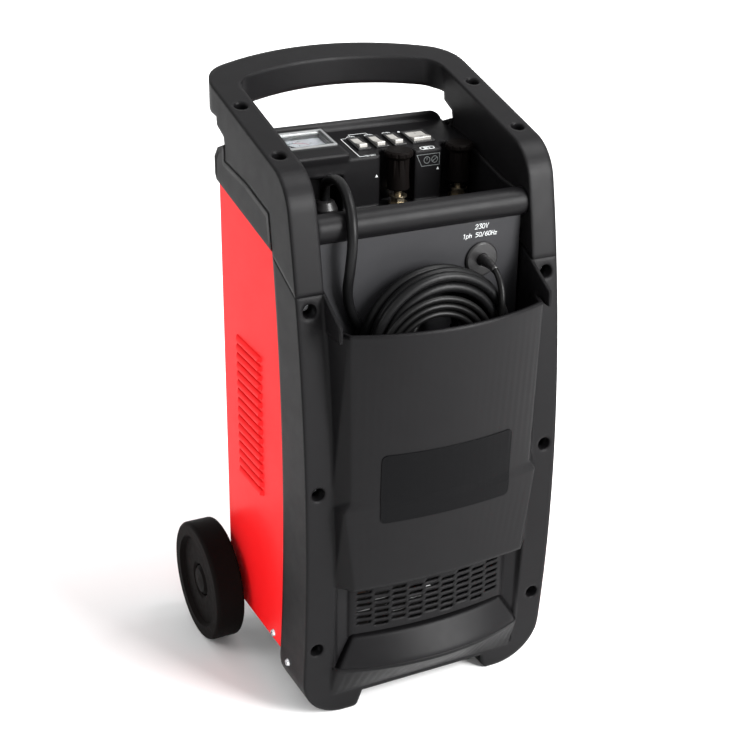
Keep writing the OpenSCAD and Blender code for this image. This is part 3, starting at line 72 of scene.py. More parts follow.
def make_camera():
    """Camera fitted to the object's outline in the photograph."""
    az, el, roll = VIEW_AZIMUTH, VIEW_ELEVATION, VIEW_ROLL
    forward = Vector((-sin(az) * cos(el), cos(az) * cos(el), -sin(el)))
    side = forward.cross(UP).normalized()
    over = side.cross(forward)
    right = cos(roll) * side + sin(roll) * over
    above = -sin(roll) * side + cos(roll) * over
    data = bpy.data.cameras.new("view")
    data.sensor_width = SENSOR_WIDTH
    data.lens = LENS
    data.shift_x = SHIFT_X
    data.shift_y = SHIFT_Y
    data.clip_end = VIEW_FAR
    cam = bpy.data.objects.new("view", data)
    bpy.context.scene.collection.objects.link(cam)
    turn = Matrix((right, above, -forward)).transposed().to_4x4()
    cam.matrix_world = Matrix.Translation(VIEW_SPOT * MM) @ turn
    bpy.context.scene.camera = cam


def area_light(name, place, aim, size, power, spread):
    """Square soft light that looks at a point."""
    data = bpy.data.lights.new(name, "AREA")
    data.energy = power
    data.size = size
    data.spread = radians(spread)
    lamp = bpy.data.objects.new(name, data)
    bpy.context.scene.collection.objects.link(lamp)
    lamp.location = place
    lamp.rotation_euler = (Vector(aim) - Vector(place)).to_track_quat("-Z", "Y").to_euler()


def make_studio():
    """White floor and sky, soft lights round the object, and one for the far floor alone."""
    corners = [(x * FLOOR_HALF, y * FLOOR_HALF, 0) for x, y in ((-1, -1), (1, -1), (1, 1), (-1, 1))]
    floor = mesh_object("studio_floor", corners, [(0, 1, 2, 3)])
    floor.data.materials.append(
        material("studio_white", (FLOOR_WHITE,) * 3, 0.7, spread=0.01, scale=3))
    world = bpy.data.worlds.new("studio")
    world.use_nodes = True
    sky = world.node_tree.nodes["Background"]
    sky.inputs["Color"].default_value = (1, 1, 1, 1)
    sky.inputs["Strength"].default_value = WORLD_WHITE
    bpy.context.scene.world = world
    for name, settings in LIGHTS.items():
        area_light(name, *settings)
    bpy.context.scene.view_settings.view_transform = "Standard"


# ---- meshes ------------------------------------------------------------------------------

def mesh_object(name, verts, faces, smooth=False):
    """New object from vertices in metres."""
    data = bpy.data.meshes.new(name)
    data.from_pydata([tuple(v) for v in verts], [], [tuple(f) for f in faces])
    data.validate()
    obj = bpy.data.objects.new(name, data)
    bpy.context.scene.collection.objects.link(obj)
    if smooth:
        data.shade_smooth()
    return obj


def put(obj, body, mat, replaces=()):
    """Gives a piece its material and its body, and hides the nodes it replaces."""
    obj.data.materials.clear()
    obj.data.materials.append(mat)
    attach(obj, body)
    if replaces:
        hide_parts(*replaces)
    return obj


# ---- materials ---------------------------------------------------------------------------

# In metres: how far the painted shade inside the casing reaches to the sides and the rear.
INSIDE_SHADE_HALF_WIDTH, INSIDE_SHADE_REAR = 0.1384, 0.0904
# Dark colour of the painted shade on the casing's inner faces.
INSIDE_SHADE = (0.012, 0.011, 0.011, 1)
NOISE_LOW, NOISE_HIGH = 0.3, 0.7
COLOUR_DETAIL, ROUGH_DETAIL, BUMP_DETAIL, GLASS_DETAIL = 3.0, 4.0, 2.0, 2.0
ROUGH_FINER = 2.7
BEVEL_SAMPLES = 8
GLASS_SCALE, GLASS_ROUGH_LOW, GLASS_ROUGH_HIGH = 120, 0.02, 0.06


class Shader:
    """Node tree of a new Principled material, with short ways to add nodes to it."""

    def __init__(self, name):
        self.material = bpy.data.materials.new(name)
        self.material.use_nodes = True
        self.nodes = self.material.node_tree.nodes
        self.links = self.material.node_tree.links
        self.inputs = self.nodes["Principled BSDF"].inputs
        self.where = self.nodes.new("ShaderNodeTexCoord").outputs["Object"]

    def feed(self, socket, value):
        """Links a socket to another one, or sets it to a value."""
        if isinstance(value, bpy.types.NodeSocket):
            self.links.new(value, socket)
        else:
            socket.default_value = value

    def cloud(self, scale, detail):
        """Noise over the object's own coordinates."""
        node = self.nodes.new("ShaderNodeTexNoise")
        node.inputs["Scale"].default_value = scale
        node.inputs["Detail"].default_value = detail
        self.links.new(self.where, node.inputs["Vector"])
        return node.outputs["Fac"]

    def mix(self, factor, a, b):
        """Colour a where the factor is 0, and b where it is 1."""
        node = self.nodes.new("ShaderNodeMix")
        node.data_type = "RGBA"
        for socket, value in (("Factor", factor), ("A", a), ("B", b)):
            self.feed(node.inputs[socket], value)
        return node.outputs["Result"]

    def math(self, operation, a, b):
        node = self.nodes.new("ShaderNodeMath")
        node.operation = operation
        self.feed(node.inputs[0], a)
        self.feed(node.inputs[1], b)
        return node.outputs["Value"]

    def span(self, value, from_low, from_high, low, high):
        """Stretches a value from one range to another."""
        node = self.nodes.new("ShaderNodeMapRange")
        node.inputs["From Min"].default_value = from_low
        node.inputs["From Max"].default_value = from_high
        node.inputs["To Min"].default_value = low
        node.inputs["To Max"].default_value = high
        self.links.new(value, node.inputs["Value"])
        return node.outputs["Result"]

    def bevel(self, radius):
        """Normal with softened edges."""
        node = self.nodes.new("ShaderNodeBevel")
        node.samples = BEVEL_SAMPLES
        node.inputs["Radius"].default_value = radius
        return node.outputs["Normal"]

    def bump(self, height, scale, normal):
        """Normal with noise of the given height in metres on it."""
        node = self.nodes.new("ShaderNodeBump")
        node.inputs["Strength"].default_value = 1.0
        node.inputs["Distance"].default_value = height
        self.links.new(self.cloud(scale, BUMP_DETAIL), node.inputs["Height"])
        if normal:
            self.links.new(normal, node.inputs["Normal"])
        return node.outputs["Normal"]


def material(name, colour, rough, metallic=0.0, spread=0.08, scale=60.0, rough_spread=0.08,
             grain=0.0, grain_scale=1500.0, coat=0.0, coat_rough=0.08, bevel=0.0, wave=0.0,
             wave_scale=60.0, ior=1.5, inside_shade=False):
    """Principled material whose colour and roughness drift over noise. Where asked it has a moulded
    grain, long waves in the surface, softened edges, and painted shade: a dark colour on the casing's
    inner faces."""
    shader = Shader(name)
    shader.inputs["Metallic"].default_value = metallic
    shader.inputs["Coat Weight"].default_value = coat
    shader.inputs["Coat Roughness"].default_value = coat_rough
    shader.inputs["IOR"].default_value = ior
    lighter = tuple(min(1.0, c * (1 + spread)) for c in colour)
    darker = tuple(c * (1 - spread) for c in colour)
    paint = shader.mix(shader.cloud(scale, COLOUR_DETAIL), (*lighter, 1), (*darker, 1))
    # Painted shade: the casing's inner faces take a dark colour in place of the red.
    if inside_shade:
        parts = shader.nodes.new("ShaderNodeSeparateXYZ")
        shader.links.new(shader.where, parts.inputs["Vector"])
        from_middle = shader.math("ABSOLUTE", parts.outputs["X"], 0.0)
        inside_shade_mask = shader.math(
            "MULTIPLY", shader.math("LESS_THAN", from_middle, INSIDE_SHADE_HALF_WIDTH),
            shader.math("LESS_THAN", parts.outputs["Y"], INSIDE_SHADE_REAR))
        paint = shader.mix(inside_shade_mask, paint, INSIDE_SHADE)
    shader.links.new(paint, shader.inputs["Base Color"])
    shader.links.new(
        shader.span(shader.cloud(scale * ROUGH_FINER, ROUGH_DETAIL), NOISE_LOW, NOISE_HIGH,
                    rough * (1 - rough_spread), min(1.0, rough * (1 + rough_spread))),
        shader.inputs["Roughness"])
    normal = shader.bevel(bevel) if bevel else None
    for height, size in ((wave, wave_scale), (grain, grain_scale)):
        if height:
            normal = shader.bump(height, size, normal)
    if normal:
        shader.links.new(normal, shader.inputs["Normal"])
    return shader.material


def glass(name):
    """Clear window with a faint drift in its roughness."""
    shader = Shader(name)
    shader.inputs["Transmission Weight"].default_value = 1.0
    shader.inputs["IOR"].default_value = 1.45
    shader.inputs["Base Color"].default_value = (0.98, 0.99, 0.99, 1)
    drift = shader.cloud(GLASS_SCALE, GLASS_DETAIL)
    shader.links.new(shader.span(drift, 0.0, 1.0, GLASS_ROUGH_LOW, GLASS_ROUGH_HIGH),
                     shader.inputs["Roughness"])
    return shader.material


# ---- cords -------------------------------------------------------------------------------

LEAD_D, LEAD_GAP, MAINS_D, MAINS_GAP = 10.0, 0.6, 6.4, 0.5
LEAD_PITCH = LEAD_D + LEAD_GAP
COIL_X, COIL_Z, COIL_OUT = 5.0, 402.0, 75.0
NEG_Y0 = -90.5
NEG_Y1 = NEG_Y0 - LEAD_PITCH
POS_Y0 = NEG_Y1 - LEAD_PITCH
POS_Y1 = POS_Y0 - LEAD_PITCH
MAINS_X, MAINS_Z = -5.0, 394.0
MAINS_Y = POS_Y1 - LEAD_D / 2 - MAINS_D / 2 - MAINS_GAP
MAINS_OUT, MAINS_IN, MAINS_TURNS = 68.0, 42.0, 3.5
CLAMP_STEP = 25.5
CLAMP_RED_Y = NEG_Y1 - CLAMP_STEP
PLUG_Y = -109.9
TAIL_Z = 278.0
PER_TURN, PER_STRETCH, LEAST_STEP = 48, 6, 0.5
CORD_ROUNDNESS = 5
RELIEF_START, RELIEF_TIP, RELIEF_LENGTH, RELIEF_GROOVE = 6.4, 3.7, 27.0, 0.35
RELIEF_SIDES, GROOVE_EVERY = 24, 3


def smooth_path(points):
    """Points of the smooth curve that part.scad draws through a cord's points."""
    p = [Vector(q) for q in points]
    out, last = [], len(p) - 1
    for i in range(last):
        b, c = p[i], p[i + 1]
        a = p[i - 1] if i else 2 * b - c
        d = p[i + 2] if i < last - 1 else 2 * c - b
        l0, l1, l2 = (b - a).length, (c - b).length, (d - c).length
        m1 = ((c - b) / l1 * l0 + (b - a) / l0 * l1) * l1 / (l0 + l1)
        m2 = ((c - b) / l1 * l2 + (d - c) / l2 * l1) * l1 / (l1 + l2)
        for k in range(PER_STRETCH):
            s = k / PER_STRETCH
            out.append((2 * s ** 3 - 3 * s * s + 1) * b + (s ** 3 - 2 * s * s + s) * m1
                       + (3 * s * s - 2 * s ** 3) * c + (s ** 3 - s * s) * m2)
    return out + [p[last]]


def layered_coil(y0, y1, start, turns_in, turns_over, turns_out):
    """Turns in towards the middle, over to the next layer and out again."""
    out, total = [], turns_in + turns_over + turns_out
    mid = turns_in + turns_over / 2
    for i in range(round(total * PER_TURN) + 1):
        w = i / PER_TURN
        a = radians(start + 360 * w)
        r = COIL_OUT - LEAD_PITCH * mid + LEAD_PITCH * abs(w - mid)
        k = min(1.0, max(0.0, (w - turns_in) / turns_over))
        y = y0 + (y1 - y0) * (3 * k * k - 2 * k ** 3)
        out.append(Vector((COIL_X + r * cos(a), y, COIL_Z + r * sin(a))))
    return out


def mains_coil():
    """Flat spiral in front of the charging leads."""
    out = []
    for i in range(round(MAINS_TURNS * PER_TURN) + 1):
        a = radians(-360 * i / PER_TURN)
        r = MAINS_OUT + (MAINS_IN - MAINS_OUT) * i / (MAINS_TURNS * PER_TURN)
        out.append(Vector((MAINS_X + r * cos(a), MAINS_Y, MAINS_Z + r * sin(a))))
    return out


def cord(name, path, diameter, mat, replaces):
    """A round cable along a dense path."""
    pts = [path[0]]
    for q in path[1:]:
        if (q - pts[-1]).length > LEAST_STEP:
            pts.append(q)
    data = bpy.data.curves.new(name, "CURVE")
    data.dimensions = "3D"
    data.bevel_depth = diameter / 2 * MM
    data.bevel_resolution = CORD_ROUNDNESS
    data.use_fill_caps = True
    spline = data.splines.new("POLY")
    spline.points.add(len(pts) - 1)
    for point, q in zip(spline.points, pts):
        point.co = (*((q + PLACED) * MM), 1)
    spline.use_smooth = True
    obj = bpy.data.objects.new(name, data)
    bpy.context.scene.collection.objects.link(obj)
    put(obj, "charger", mat, replaces)
    length = sum((b - a).length for a, b in zip(pts, pts[1:])) * MM


def strain_relief(path, mat):
    """Tapered sleeve round the start of the mains lead, with grooves round it."""
    pts, gone = [path[0]], 0.0
    for q in path[1:]:
        gone += (q - pts[-1]).length
        pts.append(q)
        if gone > RELIEF_LENGTH:
            break
    n, verts, faces = RELIEF_SIDES, [], []
    for i, q in enumerate(pts):
        t = (pts[min(i + 1, len(pts) - 1)] - pts[max(i - 1, 0)]).normalized()
        u = t.cross(ACROSS).normalized()
        v = t.cross(u)
        grooved = i % GROOVE_EVERY == GROOVE_EVERY - 1 and i < len(pts) - GROOVE_EVERY
        r = RELIEF_START + (RELIEF_TIP - RELIEF_START) * i / (len(pts) - 1)
        if grooved:
            r -= RELIEF_GROOVE
        turns = [2 * pi * j / n for j in range(n)]
        verts += [(q + PLACED + r * (cos(a) * u + sin(a) * v)) * MM for a in turns]
        if i:
            a, b = (i - 1) * n, i * n
            faces += [(a + j, a + (j + 1) % n, b + (j + 1) % n, b + j) for j in range(n)]
    faces += [tuple(reversed(range(n))), tuple(range(len(verts) - n, len(verts)))]
    sleeve = mesh_object("mains_strain_relief", verts, faces, smooth=True)
    return put(sleeve, "charger", mat)


def negative_lead(mats):
    """From the bushing in the terminal well over the bar, into the bin and to its clamp."""
    run = smooth_path([
        (-50, 28, 500), (-50, 28, 510), (-50.4, 27, 517), (-51.8, 23.6, 524), (-54.5, 17, 530),
        (-59, 6, 535.5), (-63, -6, 541), (-66, -21, 547.5), (-68.5, -36, 552.5),
        (-71.5, -55, 554.5), (-75, -76, 549), (-78, -91, 538), (-80.5, -99.5, 524),
        (-82, -102, 508), (-83, -100, 487), (-83, -95, 462), (-79, -92, 445),
        (-73, NEG_Y0, 431), (-70, NEG_Y0, 425), (-70, NEG_Y0, 412)])
    tail = smooth_path([
        (-70, NEG_Y1, 392), (-70, NEG_Y1, 378), (-73, NEG_Y1, 357), (-79, NEG_Y1, 335),
        (-85, NEG_Y1, TAIL_Z + 33), (-87, NEG_Y1, TAIL_Z + 17), (-83, NEG_Y1, TAIL_Z + 5),
        (-75, NEG_Y1, TAIL_Z), (-66, NEG_Y1, TAIL_Z)])
    coil = layered_coil(NEG_Y0, NEG_Y1, 180, 1.25, 0.5, 1.25)
    cord("negative_lead", run + coil + tail, LEAD_D, mats["lead"],
         ("negative_lead_run", "negative_lead_coil", "negative_lead_tail"))


def positive_lead(mats):
    """From its lug at the side of the bin into its coil and to its clamp."""
    run = smooth_path([
        (88, -112, 348), (88, -112, 357), (86.4, POS_Y0 + 0.5, 367), (82.6, POS_Y0, 378),
        (80.3, POS_Y0, 385.5), (80, POS_Y0, 389.5), (80, POS_Y0, 392)])
    tail = smooth_path([
        (-70, POS_Y1, 392), (-70, POS_Y1, 378), (-73, POS_Y1 - 0.5, 357), (-79, POS_Y1 - 2, 335),
        (-85, CLAMP_RED_Y + 1, TAIL_Z + 33), (-87, CLAMP_RED_Y, TAIL_Z + 17),
        (-83, CLAMP_RED_Y, TAIL_Z + 5), (-75, CLAMP_RED_Y, TAIL_Z), (-66, CLAMP_RED_Y, TAIL_Z)])
    coil = layered_coil(POS_Y0, POS_Y1, 0, 1.5, 0.5, 1.5)
    cord("positive_lead", run + coil + tail, LEAD_D, mats["lead"],
         ("positive_lead_lug_end", "positive_lead_coil", "positive_lead_tail"))


def mains_lead(mats):
    """Out of the gland in the bin's back plate, down into its coil, and round to the plug.
    A point of the tail is given from the coil's middle, with its share of the way back."""
    run = smooth_path([
        (65.3, -86, 470.5), (65.3, -95, 471), (65.2, -105, 470.5), (65, -115, 467.5),
        (64.6, -123.5, 461), (64, -129, 452.5), (63.4, MAINS_Y - 0.5, 442), (63.1, MAINS_Y, 432),
        (63, MAINS_Y, 422), (63, MAINS_Y, MAINS_Z + MAINS_D)])
    tail = smooth_path([
        (MAINS_X + x, MAINS_Y + (PLUG_Y - MAINS_Y) * k, MAINS_Z + z) for x, k, z in (
            (-41, 0, 6.4), (-40.8, 0, 7.7), (-39, 0, 13.4), (-37.4, 0, 16.7), (-35.3, 0.007, 19.7),
            (-27.7, 0.086, 29.5), (-20.1, 0.241, 39.2), (-14.5, 0.364, 44.6),
            (-7.8, 0.496, 48.2), (-0.3, 0.629, 49.9), (7.4, 0.752, 49.5), (14.7, 0.858, 47),
            (21, 0.938, 42.6), (25.9, 0.986, 36.7), (28.9, 1, 29.6), (30, 1, 22), (30, 1, 19),
            (30, 1, 15))])
    relief = strain_relief(run, mats["plastic"])
    cord("mains_lead", run + mains_coil() + tail, MAINS_D, mats["mains"],
         ("mains_lead_run", "mains_lead_coil", "mains_lead_tail"))


# ---- how flat pieces lie on the object ---------------------------------------------------

PANEL_Y, PANEL_Z, PANEL_SLOPE = 18.0, 552.7, atan(0.12)


def on_panel(height):
    """Places a flat print at a height over the sloping control panel."""
    def spot(u, v, h):
        z = PANEL_Z + tan(PANEL_SLOPE) * (v - PANEL_Y)
        lift = height + h
        return Vector((u, v - lift * sin(PANEL_SLOPE), z + lift * cos(PANEL_SLOPE))) + PLACED
    return spot


def on_well_wall(u, v, h):
    """Places a flat print on the upright rear wall of the terminal well."""
    return Vector((u, PANEL_Y - h, v)) + PLACED


def on_node(name, start, along, rise):
    """Places a flat piece where straight lines from a plane meet a node's surface."""
    mesh = frame["nodes"][name].data
    tree = BVHTree.FromPolygons([v.co for v in mesh.vertices], [f.vertices for f in mesh.polygons])

    def spot(u, v, h):
        place, normal, _, _ = tree.ray_cast((start + u * ACROSS + v * rise + PLACED) * MM, along)
        return place / MM + normal * h
    return spot


# ---- prints ------------------------------------------------------------------------------

PRINT_UNDER, PRINT_TOP = 0.04, 0.12
MITRE_LIMIT = 0.4
CELL_HEIGHT, CELL_PITCH, CELL_GAP = 5, 4.2, 1.2

# Strokes of each character, in cells CELL_HEIGHT high.
GLYPHS = {
    "0": [[(0, 1), (0, 4), (1, 5), (2, 5), (3, 4), (3, 1), (2, 0), (1, 0), (0, 1)]],
    "1": [[(0.6, 4), (1.7, 5), (1.7, 0)]],
    "2": [[(0, 4), (1, 5), (2, 5), (3, 4), (3, 3.2), (0, 0), (3, 0)]],
    "3": [[(0, 5), (3, 5), (1.4, 3), (3, 2), (3, 1), (2, 0), (1, 0), (0, 0.8)]],
    "4": [[(2.3, 0), (2.3, 5), (0, 1.6), (3.2, 1.6)]],
    "5": [[(3, 5), (0, 5), (0, 3), (2, 3), (3, 2), (3, 1), (2, 0), (0, 0)]],
    "6": [[(2.8, 5), (1, 4.2), (0, 2.5), (0, 1), (1, 0), (2, 0), (3, 1), (3, 2), (2, 3), (0.2, 2.2)]],
    "A": [[(0, 0), (1.5, 5), (3, 0)], [(0.6, 1.7), (2.4, 1.7)]],
    "H": [[(0, 0), (0, 5)], [(3, 0), (3, 5)], [(0, 2.5), (3, 2.5)]],
    "I": [[(1.5, 0), (1.5, 5)]],
    "V": [[(0, 5), (1.5, 0), (3, 5)]],
    "h": [[(0, 0), (0, 5)], [(0, 2.4), (1, 3.2), (2.4, 3), (2.6, 0)]],
    "p": [[(0, -1.6), (0, 3.2), (2, 3.2), (2.7, 2.4), (2.7, 0.8), (2, 0), (0, 0)]],
    "z": [[(0, 3), (2.6, 3), (0, 0), (2.6, 0)]],
    "/": [[(0, -0.5), (2.4, 5.5)]],
    "-": [[(0.4, 2.5), (2.6, 2.5)]],
}


def words(text, middle, height, slant=0.0):
    """Strokes of a line of characters, centred on a point."""
    k, lines = height / CELL_HEIGHT, []
    left = middle[0] - (CELL_PITCH * len(text) - CELL_GAP) * k / 2
    for i, char in enumerate(text):
        for stroke in GLYPHS.get(char, []):
            lines.append([(left + k * (CELL_PITCH * i + x + slant * y),
                           middle[1] + k * (y - CELL_HEIGHT / 2)) for x, y in stroke])
    return lines


def box_line(x, y, w, h, r):
    """Closed outline of a box with cut corners."""
    a, b = w / 2, h / 2
    return [(x + u, y + v) for u, v in (
        (-a + r, -b), (a - r, -b), (a, -b + r), (a, b - r), (a - r, b), (-a + r, b), (-a, b - r),
        (-a, -b + r), (-a + r, -b))]


def arc_line(x, y, r, a0=0, a1=360, n=18):
    """Arc in n stretches from one angle to the other, a ring where no angles are given."""
    turns = [radians(a0 + (a1 - a0) * i / n) for i in range(n + 1)]
    return [(x + r * cos(a), y + r * sin(a)) for a in turns]


def battery_icon(x, y):
    """Small outline of a battery with its two posts, a minus and a plus."""
    return [box_line(x, y, 8.4, 4.2, 0.8), [(x - 2.2, y + 2.1), (x - 2.2, y + 3.0)],
            [(x + 2.2, y + 2.1), (x + 2.2, y + 3.0)], [(x - 2.6, y), (x - 0.8, y)],
            [(x + 0.8, y), (x + 2.6, y)], [(x + 1.7, y - 0.9), (x + 1.7, y + 0.9)]]


def mitre(pts, i, closed, width):
    """Direction of a stroke at one of its points, and half its width across it."""
    n, dirs = len(pts), []
    for a, b in ((i - 1, i), (i, i + 1)):
        if closed or (a >= 0 and b < n):
            du, dv = pts[b % n][0] - pts[a % n][0], pts[b % n][1] - pts[a % n][1]
            dirs.append((du / hypot(du, dv), dv / hypot(du, dv)))
    tu, tv = sum(d[0] for d in dirs) / len(dirs), sum(d[1] for d in dirs) / len(dirs)
    size = max(MITRE_LIMIT, hypot(tu, tv))
    return (tu, tv), (-tv / size ** 2 * width / 2, tu / size ** 2 * width / 2)


def stroke_parts(lines, width, spot):
    """Vertices and faces of flat strokes with mitred corners, closed on all sides."""
    verts, faces = [], []
    for line in lines:
        closed = len(line) > 2 and line[0] == line[-1]
        pts = line[:-1] if closed else line
        n, base = len(pts), len(verts)
        for i, (u, v) in enumerate(pts):
            (tu, tv), (nu, nv) = mitre(pts, i, closed, width)
            reach = 0 if closed or 0 < i < n - 1 else width / 2 * (1 if i else -1)
            for side in (1, -1):
                verts += [spot(u + tu * reach + side * nu, v + tv * reach + side * nv, h)
                          for h in (PRINT_UNDER, PRINT_TOP)]
        for i in range(n if closed else n - 1):
            a, b = base + 4 * i, base + 4 * ((i + 1) % n)
            faces += [(a + 1, a + 3, b + 3, b + 1), (a, b, b + 2, a + 2), (a, a + 1, b + 1, b),
                      (a + 2, b + 2, b + 3, a + 3)]
        if not closed:
            e = base + 4 * (n - 1)
            faces += [(base, base + 2, base + 3, base + 1), (e, e + 1, e + 3, e + 2)]
    return verts, faces


def patch_parts(outlines, spot):
    """Vertices and faces of flat filled outlines."""
    verts, faces = [], []
    for line in outlines:
        n, base = len(line), len(verts)
        verts += [spot(u, v, h) for u, v in line for h in (PRINT_UNDER, PRINT_TOP)]
        low = [base + 2 * i for i in range(n)]
        faces += [tuple(k + 1 for k in low), tuple(reversed(low))]
        faces += [(a, b, b + 1, a + 1) for a, b in zip(low, low[1:] + low[:1])]
    return verts, faces


def printed(name, mat, spot, lines=(), width=0.5, patches=(), body="charger"):
    """One piece of print: strokes of a width, and filled outlines."""
    verts, faces = stroke_parts(lines, width, spot)
    more_verts, more_faces = patch_parts(patches, spot)
    faces += [tuple(len(verts) + k for k in f) for f in more_faces]
    verts += more_verts
    put(mesh_object(name, [v * MM for v in verts], faces), body, mat)


def panel_prints(mats):
    """Batteries over the small rockers with their brackets, and the main switch's marks."""
    white, panel = mats["print_white"], on_panel(0.0)
    icon_y, small_rockers = 66.2, (-3.5, 16.5, 36.5)
    lines = [[(-8.2, 65.5), (-15.2, 65.2), (-15.8, 20.2), (-10.5, 19.9)],
             [(-3.2, 69.4), (-3.2, 73), (16.6, 73), (16.6, 69.4)]]
    for x in small_rockers:
        lines += battery_icon(x, icon_y)
    printed("panel_marks", white, panel, lines, 0.55)
    printed("panel_small_marks", white, panel, words("12-24V", (-4.2, 20.2), 2.4), 0.38)
    switch_mark, lamp_mark = (60, 21.4), arc_line(50.6, icon_y, 1.4, n=14)[:-1]
    printed("main_switch_marks", white, panel,
            [box_line(*switch_mark, 15, 5.6, 1.2)] + words("0/I", switch_mark, 3.0), 0.75,
            [lamp_mark])


def well_prints(mats):
    """Grey box with two signs on the well's rear wall, and a small triangle by each knob."""
    sign_z, sign_r, first_x, second_x = 541.6, 3.4, 58.4, 67.2
    box = [(46.8, 547.6), (52.6, 535.6), (72.6, 535.6), (72.6, 547.6), (46.8, 547.6)]
    signs = [arc_line(first_x, sign_z, sign_r), arc_line(second_x, sign_z, sign_r),
             [(first_x, sign_z), (first_x, 543.8)], [(64.8, 539.8), (69.6, 543.4)]]
    printed("wall_box", mats["print_grey"], on_well_wall, [box] + signs, 0.5)
    foot_z, tip_z, half_foot = 530.6, 533.4, 1.5
    printed("wall_marks", mats["print_white"], on_well_wall,
            patches=[[(x - half_foot, foot_z), (x + half_foot, foot_z), (x, tip_z)]
                     for x in (2.0, 71.0)])


def plate_prints(mats):
    """Mains voltage and frequency over the gland."""
    plate = on_node("bin_back_plate", -110 * REARWARD, REARWARD, UP)
    slant = 0.15
    printed("plate_print", mats["print_white"], plate, words("230V", (64.5, 504.0), 4.6, slant)
            + words("1ph 50/60Hz", (63, 495.8), 4.2, slant), 0.42)


def dial_prints(mats):
    """Scale of the ammeter: ticks, numbers, a green and a red arc and the letter A."""
    card, dark = on_panel(-0.7), mats["print_dark"]
    pivot_x, pivot_y = -66.0, 50.0
    first, last, change, gap, step = 40, 140, 91, 1, 10
    tick_in, tick_out, number_r, arc_r = 18.6, 20.4, 22.3, 18.1

    def at(r, a):
        return pivot_x + r * cos(radians(a)), pivot_y + r * sin(radians(a))

    ticks = [[at(r, a) for r in (tick_in, tick_out)] for a in range(first, last + 1, step)]
    letter = words("A", (pivot_x + 4, pivot_y + 11.5), 3.2)
    printed("dial_scale", dark, card, ticks + letter, 0.34)
    numbers = []
    for text, a in (("0", last), ("10", 107), ("20", 73), ("30", first)):
        numbers += words(text, at(number_r, a), 1.7)
    printed("dial_numbers", dark, card, numbers, 0.22)
    green = arc_line(pivot_x, pivot_y, arc_r, last, change + gap)
    red = arc_line(pivot_x, pivot_y, arc_r, change - gap, first)
    printed("dial_green", mats["print_green"], card, [green], 0.9)
    printed("dial_red", mats["print_red"], card, [red], 0.9)


def rocker_prints(mats):
    """Stroke and ring for on and off, which ride on the main rocker."""
    rocker = on_node("main_rocker", 600 * UP, -UP, REARWARD)
    x = 63
    printed("rocker_marks", mats["print_dark"], rocker,
            [[(x, 52.6), (x, 56.2)], arc_line(x, 41.2, 1.9, n=20)], 0.6, body="main_rocker")


# ---- pieces on the front cover -----------------------------------------------------------

def inlet_shelf(front, mats):
    """Sloping shelf of the air inlet, from the slotted wall out to the bowed front edge. It
    runs a little way into the wall and the sides, and rolls over the edge at the front."""
    wall_half, wall_y, wall_sag = 86.7, 128.0, 9.0
    wall_r = (wall_half ** 2 + wall_sag ** 2) / (2 * wall_sag)
    mouth_half, top_z, edge_z, into = 108.6, 98.1, 64.0, 0.5
    edge_drop, edge_lift, lip_drop, lip_lift = 1.5, 0.35, 4.0, 0.30
    cols, rows, roll_from, roll_steps = 40, 6, 0.9, 4
    under = Vector((0, 1.2, -0.8))
    verts, faces = [], []
    for i in range(cols + 1):
        k = 2 * i / cols - 1
        x, mouth_x = k * (wall_half + into), k * (mouth_half + into)
        top = Vector((x, wall_r - wall_y - (wall_r ** 2 - x ** 2) ** 0.5 + into, top_z))
        edge = front(mouth_x, edge_z - edge_drop, edge_lift) - PLACED
        edge.z = edge_z
        lip = front(mouth_x, edge_z - lip_drop, lip_lift) - PLACED
        line = [top + (edge - top) * (j / rows) for j in range(rows)]
        start = top + (edge - top) * roll_from
        for t in (j / roll_steps for j in range(roll_steps + 1)):
            line.append(start * (1 - t) ** 2 + edge * (2 * t * (1 - t)) + lip * t ** 2)
        verts += [q + PLACED for q in line] + [q + PLACED + under for q in line]
    h = rows + roll_steps + 1
    n = 2 * h
    for a in range(0, cols * n, n):
        b = a + n
        for j in range(h - 1):
            faces.append((a + j, a + j + 1, b + j + 1, b + j))
            faces.append((a + h + j, b + h + j, b + h + j + 1, a + h + j + 1))
        faces.append((a, b, b + h, a + h))
        faces.append((a + h - 1, a + n - 1, b + n - 1, b + h - 1))
    for a in (0, cols * n):
        faces += [(a + j, a + h + j, a + h + j + 1, a + j + 1) for j in range(h - 1)]
    shelf = mesh_object("inlet_shelf", [v * MM for v in verts], faces, smooth=True)
    for poly in shelf.data.polygons:
        # A face that joins the upper and the lower skin stays flat.
        poly.use_smooth = len({k % n // h for k in poly.vertices}) == 1
    put(shelf, "charger", mats["moulding"])


def label_plate(front, mats):
    """Bare black plate on the front, with rounded corners, following the panel's bow."""
    x0, x1, z0, z1, corner = -72.0, 72.0, 239.0, 314.0, 6.0
    under, thick, cols_between, rows = 0.02, 0.8, 16, 14
    bends = [0.0, 0.4, 1.2, 2.4, 4.0, corner]
    straight = x1 - x0 - 2 * corner
    xs = [x0 + b for b in bends]
    xs += [x0 + corner + straight * i / cols_between for i in range(1, cols_between)]
    xs += [x1 - b for b in reversed(bends)]
    cols, verts, faces = len(xs) - 1, [], []
    for h in (under, thick):
        for j in range(rows + 1):
            for x in xs:
                off = max(0.0, corner - min(x - x0, x1 - x))
                inset = corner - (corner ** 2 - off ** 2) ** 0.5
                verts.append(front(x, z0 + inset + (z1 - z0 - 2 * inset) * j / rows, h))
    layer = (rows + 1) * (cols + 1)
    for j in range(rows):
        for i in range(cols):
            a = j * (cols + 1) + i
            quad = (a, a + 1, a + cols + 2, a + cols + 1)
            faces += [tuple(layer + k for k in quad), tuple(reversed(quad))]
    top = rows * (cols + 1)
    rim = (list(range(cols)) + [cols + j * (cols + 1) for j in range(rows)]
           + [top + i for i in range(cols, 0, -1)] + [j * (cols + 1) for j in range(rows, 0, -1)])
    faces += [(a, b, layer + b, layer + a) for a, b in zip(rim, rim[1:] + rim[:1])]
    put(mesh_object("label_plate", [v * MM for v in verts], faces), "charger",
        mats["label"])


# ---- the look of each piece --------------------------------------------------------------

